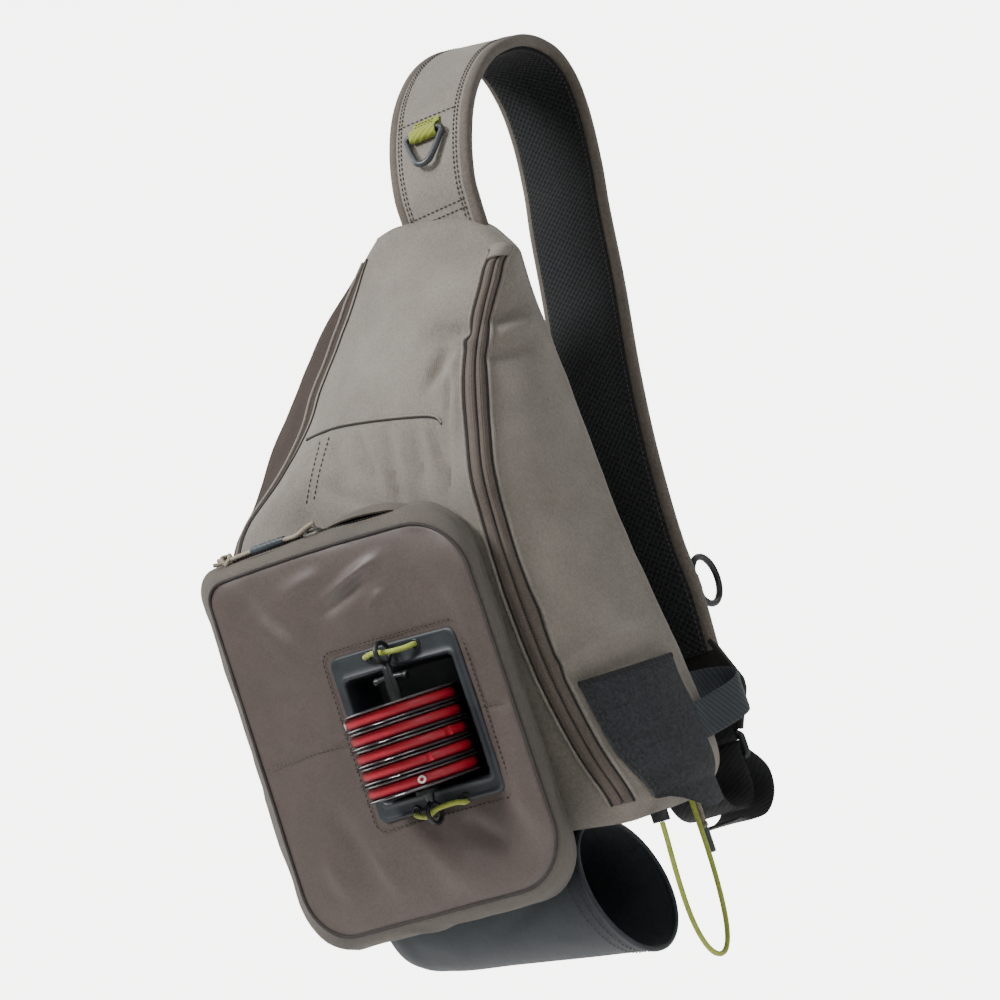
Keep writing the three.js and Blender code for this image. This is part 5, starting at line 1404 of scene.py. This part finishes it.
SLEEVE_FOLDS = [
    ((-60, -92, -50), (0, -92, -30), 6, -1.2), ((-100, -90, -20), (-40, -94, -26), 7, 1.0),
    ((-20, -92, -60), (10, -88, -74), 6, 0.9),
    ((-130, -80, -40), (-90, -84, -56), 8, -1.2), ((-60, -70, -78), (20, -66, -84), 6, 0.8),
]  # fmt: skip
outer = sleeve_rows(np.linspace(0, 1, 70), 0.0)
middle_line = outer.mean(axis=1, keepdims=True)
away = unit(outer - middle_line)
sleeve_ease = np.clip((1 - np.linspace(0, 1, 70)) * 14, 0, 1)[:, None]
below = (outer[..., 2] < middle_line[..., 2] + 25)
outer = (
    outer
    + away * ((0.45 * value_noise(outer, 30, 51) + creases(outer, SLEEVE_FOLDS)) * sleeve_ease * below)[..., None]
)
inner = sleeve_rows(np.linspace(1, 0, 40), 1.8)
piece(
    "bottle_sleeve_cloth", skin(np.concatenate([outer, inner])), SLEEVE_NYLON, "slate_nylon",
    "bottle_sleeve"
)
mouth = sleeve_rows(np.array([0.965, 0.93, 1.0]), -0.25)
hem_rows = [np.concatenate([row, row[:1]]) for row in mouth[:2]]
hem_out = np.concatenate([away[-1], away[-1][:1]])
piece(
    "sleeve_hem_stitches",
    merged(*[stitches(row, hem_out, 3.4, 2.2, 0.35, 0.1) for row in hem_rows]), THREAD_TAUPE,
    "slate_nylon"
)
rim = (mouth[2] + sleeve_rows(np.array([1.0]), 1.8)[0]) / 2
piece("sleeve_mouth_hem", tube(rim, 1.7, (1, 0, -0.25), 10, True), SLEEVE_NYLON, "slate_nylon")

# %% [markdown]
# ## The right side
# A felt patch is sewn on near the foot of the right side. Its top edge is bound, and its hem
# hangs free. A wide loop of webbing is sewn over the patch's back edge.

# %% Felt patch and side loop
patch_levels = np.linspace(0.212, 0.03, 34)
patch_front = np.interp(
    patch_levels, [0.03, 0.065, 0.1, 0.212], [0.142, 0.083, 0.042, 0.042]
)[:, None]
patch_across = patch_front + (0.89 - patch_front) * np.linspace(0, 1, 48)[None]
patch, patch_out = on_pack("side", 2, patch_levels, patch_across, 1.0)
hem_share = np.interp(
    np.linspace(0, 1, 48), np.linspace(0, 1, 7), [0.1, 0.15, 0.35, 0.65, 0.95, 1, 0.9]
)
drop = np.linspace(0, 1, 12)[1:, None, None] * 17 * hem_share[None, :, None]
hem_rows = patch[-1][None] - drop * np.array([0, 0, 1.0])
hem_rows = hem_rows + patch_out[-1][None] * np.sin(drop / 17 * 1.6) * 1.2
patch = np.concatenate([patch, hem_rows])
patch_out = np.concatenate([patch_out, np.broadcast_to(patch_out[-1], hem_rows.shape)])
patch = patch + patch_out * (2.4 + 0.3 * value_noise(patch, 9, 61))[..., None]
piece("fly_patch_felt", slab(patch, 2.4, patch_out), FELT, "wool_felt", "fly_patch")
binding = band(patch[0] + patch_out[0] * -1.1, 3.6, 3.9, (0, 0, 1))
piece("fly_patch_binding", binding, BLACK_WEBBING, "black_webbing")
patch_side = patch[:-6, 2] + patch_out[:-6, 2] * 0.1
piece("fly_patch_stitches", stitches(patch_side, patch_out[:-6, 2]), THREAD_TAUPE, "wool_felt")

LOOP_Z = 44.0
loop_xy = np.array([[7.4, -17], [9.6, -8], [13.5, 2], [18, 14], [19.5, 26], [14, 35], [2, 36], [-6, 28], [-8, 15], [-7, 3.5]])
loop_rise = [-4, -3.5, -2, 0, 3, 7, 11, 13, 14, 14]
loop_line = curve(np.c_[loop_xy + [85.0, 0], LOOP_Z + np.array(loop_rise)], 90)
piece(
    "side_loop_webbing", band(loop_line, 24.0, 2.0, (0, 0, 1)), SLATE_WEBBING, "slate_webbing",
    "side_loop"
)
tab = curve([[77, -71.5, -8.7], [77, -71.5, -5.0], [76.9, -71.3, -2.5]], 12)
piece(
    "cord_tab_webbing", band(tab, 12.0, 3.0, (1, 0, 0)), BLACK_WEBBING, "slate_webbing",
    "sleeve_cord_tab"
)

# %% [markdown]
# ## The shoulder strap
# The strap is a padded sandwich: pack cloth outside, holed spacer mesh inside, foam between,
# and a rolled binding on both edges. One table gives its middle line, its width and its lean.

# %% Strap frame
# x, y, z, width as a share of 68 mm, how much higher its left edge lies
STRAP_TABLE = np.array([
    [28.0, -9.4, 384.0, 0.92, 12],
    [29.0, -10.2, 405.0, 0.92, 12],
    [29.5, -9.5, 421.0, 0.93, 11],
    [30.5, 0.5, 450.0, 0.96, 10],
    [31.5, 20.0, 480.0, 0.98, 11],
    [32.0, 52.0, 507.0, 1.00, 13],
    [32.5, 86.0, 522.0, 1.00, 16],
    [32.0, 120.0, 527.0, 1.00, 16],
    [31.5, 147.5, 518.0, 1.00, 12],
    [30.5, 161.0, 500.0, 1.00, 6],
    [30.5, 163.0, 475.0, 1.00, 2],
    [32.0, 152.5, 433.0, 1.00, 0],
    [35.0, 136.0, 398.0, 1.00, 0],
    [39.0, 114.0, 342.0, 1.00, 0],
    [44.0, 82.0, 269.0, 1.00, 0],
    [48.5, 62.5, 213.0, 0.98, 0],
    [53.0, 50.5, 151.0, 0.94, 0],
    [57.6, 46.5, 118.0, 0.91, 0],
    [58.0, 43.5, 78.0, 0.88, 0],
])  # fmt: skip
STRAP_WIDTH, SHELL_IN, SHELL_OUT = 68.0, -1.9, 5.6
strap = curve(STRAP_TABLE, 420)
strap_half = STRAP_WIDTH * strap[:, 3] / 2
strap_along = unit(np.gradient(strap[:, :3], axis=0))
lean = np.stack(
    [np.sqrt((2 * strap_half) ** 2 - strap[:, 4] ** 2), 0 * strap_half, -strap[:, 4]], 1
)
strap_out = unit(np.cross(unit(lean), strap_along))
strap_side = unit(np.cross(strap_along, strap_out))


def on_strap(i, across, out):
    """Points beside step i of the strap: so far across it and so far out from its middle."""
    across, out = np.broadcast_arrays(np.asarray(across, float), np.asarray(out, float))
    return strap[i, :3] + strap_side[i] * across[..., None] + strap_out[i] * out[..., None]


def strap_skin(section, first=0):
    """A closed section carried along the strap; section gives (across, out) for a half width."""
    rings, uv = [], []
    far = lengths(strap[:, :3])
    for i in range(first, len(strap)):
        across, out = section(strap_half[i], i)
        rings.append(on_strap(i, across, out))
        uv.append(np.stack([np.r_[across, across[0]] / 1000, np.full(len(across) + 1, far[i] / 1000)], -1))
    return skin(np.stack(rings), uv=np.stack(uv))


ripple = 0.35 * value_noise(strap[:, :3], 24, 71)


def cover_section(half, i):
    s = np.linspace(-1, 1, 33)
    top = SHELL_OUT - 0.9 + 1.3 * (1 - np.abs(s) ** 4) + ripple[i] * (1 - s**2)
    low = np.linspace(1, -1, 13)
    return np.r_[s * (half - 4), low * (half - 4)], np.r_[top, np.full(13, SHELL_IN + 0.2)]


def binding_section(sign):
    """A rolled edge: an ellipse, wider than it is thick."""
    a = np.linspace(0, 2 * np.pi, 18, endpoint=False)

    def section(half, i):
        across = sign * (half - 4.0) + 4.0 * np.sign(np.cos(a)) * np.abs(np.cos(a)) ** 0.8
        return across, (SHELL_IN + SHELL_OUT) / 2 + 4.15 * np.sign(np.sin(a)) * np.abs(np.sin(a)) ** 0.75

    return section


def lining_section(half, i):
    s = np.linspace(-1, 1, 29)
    edge = half - 6.2
    low = SHELL_IN - 2.3 - 1.7 * (1 - np.abs(s) ** 6)
    top = np.linspace(1, -1, 9)
    return np.r_[s * edge, top * edge], np.r_[low, np.full(9, SHELL_IN - 0.1)]


strap_cover = piece(
    "strap_cover_cloth", strap_skin(cover_section), PACK_NYLON, "taupe_nylon", "shoulder_strap"
)
bound = [strap_skin(binding_section(sign)) for sign in (-1, 1)]
piece("strap_edge_binding", merged(*bound), EDGE_BINDING, "taupe_nylon")
piece(
    "strap_lining_mesh", strap_skin(lining_section, 8), SPACER_MESH, "spacer_mesh", "strap_lining"
)

# %% Strap stitching
D_STEP = int(np.abs(strap[:100, 2] - 457.0).argmin())
FOOT_STEP = int(np.abs(strap[:100, 2] - 401.0).argmin())
rows = []
for sign in (-1, 1):
    for back, off in ((9.2, 0.15), (11.4, 0.2)):
        s = 1 - (back - 4) / (strap_half - 4)
        top = SHELL_OUT - 0.9 + 1.3 * (1 - s**4) + ripple * (1 - s**2)
        line = (
            strap[:, :3]
            + strap_side * (sign * (strap_half - back))[:, None]
            + strap_out * (top + off)[:, None]
        )
        rows.append(stitches(line, strap_out))
    line = (
        strap[:, :3]
        + strap_side * (sign * (strap_half - 7.6))[:, None]
        + strap_out * (SHELL_IN - 2.5)
    )
    rows.append(stitches(line[8:], -strap_out[8:]))
for step in (D_STEP + 8, FOOT_STEP, FOOT_STEP + 3):
    s = np.linspace(-0.86, 0.86, 50)
    top = SHELL_OUT - 0.9 + 1.3 * (1 - s**4) + ripple[step] * (1 - s**2) + 0.2
    rows.append(stitches(on_strap(step, s * (strap_half[step] - 4), top), strap_out[step]))
piece("strap_stitches", merged(*rows), THREAD_TAUPE, "taupe_nylon")

# %% D ring and net ring
d_up, d_side, d_out = strap_along[D_STEP], strap_side[D_STEP], strap_out[D_STEP]


def by_ring(points):
    """Points given as (across, up, out) beside the strap's outer face at the ring."""
    points = np.asarray(points, float)
    base = strap[D_STEP, :3] + d_out * SHELL_OUT
    return base + points[..., :1] * d_side + points[..., 1:2] * d_up + points[..., 2:] * d_out


triangle = [
    [15.0, -1.8], [0, -1.6], [-15.0, -1.8], [-16.0, -3.6], [-14.6, -7.5], [-8.6, -21.0],
    [-5.4, -26.2], [0, -28.2],
            [5.4, -26.2], [8.6, -21.0], [14.6, -7.5], [16.0, -3.6]]  # fmt: skip
triangle = loop_path(np.c_[triangle, np.full(12, 3.7)], 90)
piece(
    "d_ring_acetal", tube(by_ring(triangle * [0.9, 0.9, 1]), 2.1, d_out, 14, True), GREY_ACETAL,
    "grey_plastic", "d_ring"
)
fold = curve([
    [0, 11, 1.1], [0, 7, 2.0], [0, 3.6, 4.6], [0, 0.6, 6.3], [0, -2.0, 6.5], [0, -4.6, 5.4],
    [0, -5.3, 3.4],
              [0, -4.2, 1.4], [0, -1, 0.9], [0, 4, 0.9], [0, 11, 0.9]], 80)  # fmt: skip
piece(
    "d_ring_tab_webbing", band(by_ring(fold), 21.0, 1.2, d_side), GREEN_WEBBING, "green_cord",
    "d_ring_tab"
)
tab_rows = [
    by_ring(np.c_[np.linspace(-9, 9, 20), np.full(20, up), np.full(20, high)]) for up,
    high in ((9.4, 2.1), (6.6, 2.9))
]
piece(
    "d_ring_tab_stitches", merged(*[stitches(row, d_out, 2.6, 1.7, 0.3) for row in tab_rows]),
    THREAD_TAUPE, "green_cord"
)

NET_Z = 123.0
NET_RING_AT = np.array([80.0, 73.8, NET_Z])
piece(
    "net_ring_acetal", torus(NET_RING_AT, 16.2, 2.3, "x"), BLACK_RUBBER, "grey_plastic", "net_ring"
)
NET_STEP = int(np.abs(strap[:, 2] - NET_Z)[200:].argmin()) + 200
turn = np.linspace(0, 2 * np.pi, 40, endpoint=False)
wrap = np.stack([80 + 3.6 * np.sin(turn), 57.4 - 3.6 * np.cos(turn), np.full(40, NET_Z)], 1)
loop_rows = np.stack([wrap + [0, 0, dz] for dz in np.linspace(-5, 5, 5)])
loop_rows = np.concatenate([loop_rows, loop_rows[:, :1]], axis=1)
loop_out = unit((loop_rows - [80, 57.4, 0]) * [1, 1, 0])
strip = on_strap(NET_STEP, np.linspace(4, 27, 14), np.full(14, SHELL_OUT + 1.3))
piece(
    "net_ring_tab_webbing",
    merged(
        slab(loop_rows + loop_out * 0.6, 1.2, loop_out),
        band(strip, 10.0, 1.2, strap_along[NET_STEP])
    ),
    BLACK_WEBBING, "black_webbing", "net_ring_tab"
)

# %% [markdown]
# ## The strap's lower end
# A cloth wing closes the strap's end and narrows to the width of the webbing. A three-bar
# slide joins it to the lower webbing, which comes up from an anchor on the pack's back.

# %% Wing, slide and webbing
wing_down = np.linspace(0, 1, 40)
wing_flare = np.interp(wing_down, [0, 0.13, 0.5, 0.6, 1], [-3, 0, 7, 6, -7.92])
wing_half = 29.92 + wing_flare
across = np.linspace(-1, 1, 25)
wing = np.stack([
    58.0 + 6.5 * wing_down[:, None] + wing_half[:, None] * across[None],
    np.broadcast_to(43.5 - 3 * wing_down[:, None], (40, 25)) + 1.9,
    np.broadcast_to(84.8 - 60 * wing_down[:, None], (40, 25)),
], -1)  # fmt: skip
wing = (
    wing
    + np.array([0, 1, 0]) * (0.5 * value_noise(wing, 18, 81) + 0.7 * (1 - across**4))[..., None]
)
# The wing's near-black colour is partly painted shade.
piece(
    "strap_wing_cloth", slab(wing, 3.4, np.broadcast_to([0, 1.0, 0], wing.shape)), WING_NYLON_SHADED,
    "taupe_nylon", "strap_wing"
)
wing_lines = [wing[:, i] + np.array([0, -1.7, 0]) for i in (0, -1)]
# The bindings share the wing's painted shade.
piece(
    "strap_wing_binding", merged(*[band(line, 3.4, 4.6, (1, 0, 0)) for line in wing_lines]),
    WING_NYLON_SHADED, "taupe_nylon"
)
wing_rows = [wing[:, i] for i in (3, -4)] + [wing[3], wing[-4]]
piece(
    "strap_wing_stitches", merged(*[stitches(row, (0, 1, 0)) for row in wing_rows]), THREAD_TAUPE,
    "taupe_nylon"
)

SLIDE_AT = np.array([64.5, 39.5, 14.5])
slide_edge = rounded_loop(-21.7, 21.7, -7.7, 7.7, 3.0)[0]
slide_path = SLIDE_AT + standing(slide_edge, 0.0)
bar = SLIDE_AT + np.stack([np.linspace(-21.7, 21.7, 30), np.zeros(30), np.zeros(30)], -1)
piece(
    "slide_acetal",
    merged(tube(slide_path, 2.3, (0, 1, 0), 12, True), tube(bar, 2.1, (0, 1, 0), 12)), BLACK_RUBBER,
    "grey_plastic", "strap_adjuster"
)
holder = curve([
    [64.4, 38.4, 29], [64.4, 36.6, 25], [64.5, 36.2, 21.5], [64.5, 38.0, 18.9], [64.5, 41.0, 18.9],
    [64.5, 42.8, 21.5],
                [64.5, 42.0, 25], [64.4, 40.6, 29]], 60)  # fmt: skip
piece("slide_holder_webbing", band(holder, 39.0, 1.2, (1, 0, 0)), BLACK_WEBBING, "black_webbing")
lower = curve([
    [58.0, 4.3, 12.0], [58.0, 4.3, 6.0], [58.2, 4.6, 0.0], [58.6, 6.2, -10.0], [59.5, 11.5, -18.0],
    [61.0, 20.0, -22.5],
               [63.0, 29.0, -21.5], [64.5, 35.2, -15.0], [64.5, 37.2, -6.0], [64.5, 36.4, 3.0],
               [64.5, 36.2, 10.0],
               [64.5, 38.2, 16.6], [64.6, 41.0, 17.0], [64.9, 43.2, 13.0]], 160)  # fmt: skip
piece(
    "lower_webbing_run", band(lower, 40.0, 1.6, (1, 0, 0)), BLACK_WEBBING, "black_webbing",
    "lower_webbing"
)
tail = curve([
    [65.1, 43.6, 12.0], [66.6, 46.0, 7.0], [69.5, 50.5, -1.0], [71.3, 52.4, -8.0],
    [71.0, 50.0, -19.0],
              [68.0, 41.5, -28.5], [64.0, 30.0, -31.0], [60.5, 20.0, -29.0]], 90)  # fmt: skip
piece(
    "webbing_tail_run", band(tail, 40.0, 1.6, (1, 0, 0)), BLACK_WEBBING, "black_webbing",
    "webbing_tail"
)
anchor = np.stack(np.meshgrid(np.linspace(-1, 1, 12), np.linspace(17, -3, 12)), -1)
width_here = np.interp(anchor[..., 1], [-3, 17], [20, 14])
anchor = np.stack([58.0 + anchor[..., 0] * width_here, np.full((12, 12), 2.3), anchor[..., 1]], -1)
piece(
    "anchor_patch_cloth", slab(anchor, 1.8, np.broadcast_to([0, 1.0, 0], anchor.shape)),
    SLATE_WEBBING, "black_webbing", "webbing_anchor"
)

# %% [markdown]
# ## The back pad
# The side that lies on the wearer's back is padded: foam under holed mesh, in three cushions
# with shallow air channels between them. Its edge follows the pack's own outline.

# %% Back pad
PAD_LOW, PAD_HIGH, PAD_INSET = 0.1, 0.926, 14
pad_levels = np.linspace(PAD_LOW, PAD_HIGH, 90)
pad_corners, _ = body_corners(pad_levels)
pad_left = pad_corners[:, 0, 0] + PAD_INSET
pad_right = pad_corners[:, 3, 0] - PAD_INSET
pad_slope = np.maximum(0, 1 - pad_levels / FOOT_FADE)
ends = np.clip(np.minimum(pad_levels - PAD_LOW, PAD_HIGH - pad_levels) / 0.02, 0, 1) ** 0.5
s = np.linspace(-1, 1, 61)
channels = sum(np.exp(-(((pad_levels - at) / 0.012) ** 2)) for at in (0.36, 0.62))
pad_rows = []
for i in range(90):
    x = (pad_left[i] + pad_right[i]) / 2 + (pad_right[i] - pad_left[i]) / 2 * np.r_[s, s[::-1]]
    dome = 1.2 + (10.4 - 5.5 * channels[i]) * (1 - np.abs(s) ** 8) ** 0.5 * ends[i]
    z = pad_levels[i] * BODY_HEIGHT + FOOT_SLOPE * (FOOT_X - x) * pad_slope[i]
    pad_rows.append(np.stack([x, np.r_[0.3 + dome, np.full(61, 0.2)], z], -1))
pad = piece("back_pad_mesh", skin(np.stack(pad_rows)), SPACER_MESH, "spacer_mesh", "back_pad")

# %% Main zip pull
pull_at = np.array([66.65, -9.0, -3.75])
pull_lines = [curve(pull_at + np.array(p), 50) for p in (
    [[1.6, 0, 0], [1.7, 0, -8], [1.2, 0.4, -16], [0.8, 0, -20], [1.3, 0, -26], [1.2, 0, -37.6]],
    [
        [-1.6, 0, 0], [-1.7, 0, -8], [-1.2, -0.4, -16], [-0.8, 0, -20], [-1.3, 0, -26],
        [-1.2, 0, -37.6]
    ],
)]  # fmt: skip
knot = loop_path(
    pull_at + np.array([[2.0, 0, -18.5], [0, 2.0, -19.5], [-2.0, 0, -20.5], [0, -2.0, -21.2], [1.9, 0.4, -20.2]]),
    30
)
main_pull = merged(
    *[tube(line, 1.4, (0, 1, 0), 9) for line in pull_lines], tube(knot, 1.2, (0, 0, 1), 8, True)
)
piece("main_pull_cord", main_pull, BEIGE_CORD, "pale_cord", "main_zip_pull")
main_grip = pull_at + np.stack([np.zeros(20), np.zeros(20), np.linspace(-22, -37, 20)], -1)
piece("main_pull_grip", tube(main_grip, 2.7, (0, 1, 0), 14), GRIP_TUBE, "grey_plastic")

# %% [markdown]
# ## Floor and studio light
# A pale paper floor lies well below the hanging bag and curves up behind it, so that no
# horizon shows. A strong soft light stands high on the left, and weaker ones fill the rest.

# %% Floor and light
turn = np.linspace(0, np.pi / 2, 25)
sweep = np.concatenate([[[-6.0, -1.0]], np.stack([2.0 + 3.0 * np.sin(turn), 2.0 - 3.0 * np.cos(turn)], 1), [[5.0, 9.0]]])
# how bright paper and world look to the camera, and the light that the world gives to the bag
PAPER_GLOW, WORLD_SEEN, WORLD_LIGHT = 5.0, 4.8, 0.2
along_floor = np.array([-np.sin(TURN), np.cos(TURN), 0])
beside_floor = np.array([np.cos(TURN), np.sin(TURN), 0])
paper = [
    q[0] * along_floor + x * beside_floor + np.array([0, 0, q[1]]) for q in sweep for x in (-12, 12)
]
strips = [(2 * i, 2 * i + 1, 2 * i + 3, 2 * i + 2) for i in range(len(sweep) - 1)]
floor_mesh = bpy.data.meshes.new("paper_floor")
floor_mesh.from_pydata([tuple(q) for q in paper], [], strips)
floor_mesh.shade_smooth()


def self_lit(tree, surface):
    """White paper glows for the camera alone, so it looks white and throws no haze on the bag."""
    ray = add(tree, "ShaderNodeLightPath")
    glow = maths(tree, "MULTIPLY", ray.outputs["Is Camera Ray"], PAPER_GLOW)
    tree.links.new(glow, surface.inputs["Emission Strength"])


paper_look = {
    "Roughness": 0.9, "Base Color": linear("#fbfaf8"), "Emission Color": linear("#fffefc")
}
floor_mesh.materials.append(finish("floor_paper_white", paper_look, self_lit))
floor = bpy.data.objects.new("paper_floor", floor_mesh)
bpy.context.scene.collection.objects.link(floor)


def softbox(name, at, size, power, aim=(-0.05, -0.15, -0.3)):
    """A square light that looks at one point; its place is given from the camera's own side."""
    at = at[0] * beside_floor + at[1] * along_floor + np.array([0, 0, at[2]])
    light = bpy.data.lights.new(name, "AREA")
    light.shape, light.size, light.energy = "SQUARE", size, power
    lamp = bpy.data.objects.new(name, light)
    way = unit(np.array(at) - np.array(aim))
    x = unit(np.cross([0, 0, 1], way))
    turned = np.eye(4)
    turned[:3, 0], turned[:3, 1], turned[:3, 2], turned[:3, 3] = x, np.cross(way, x), way, at
    lamp.matrix_world = Matrix(turned.tolist())
    bpy.context.scene.collection.objects.link(lamp)


softbox("key_softbox", (-1.7, -1.05, 1.5), 0.7, 84)
softbox("fill_softbox", (1.3, -2.2, 0.7), 1.2, 14)
softbox("top_softbox", (-0.5, -0.7, 1.9), 0.9, 17, (-0.05, 0.0, 0.0))
softbox("paper_softbox_left", (-2.6, 2.2, 1.8), 2.0, 70, (0.0, 4.0, 0.2))
softbox("paper_softbox_right", (2.6, 2.2, 1.8), 2.0, 70, (0.0, 4.0, 0.2))
world = bpy.data.worlds.new("studio")
bpy.context.scene.world = world
world.use_nodes = True
world_tree = world.node_tree
world_tree.nodes["Background"].inputs["Color"].default_value = (1, 1, 1, 1)
world_ray = add(world_tree, "ShaderNodeLightPath")
world_glow = maths(
    world_tree, "MULTIPLY_ADD", world_ray.outputs["Is Camera Ray"], WORLD_SEEN, WORLD_LIGHT
)
world_tree.links.new(world_glow, world_tree.nodes["Background"].inputs["Strength"])
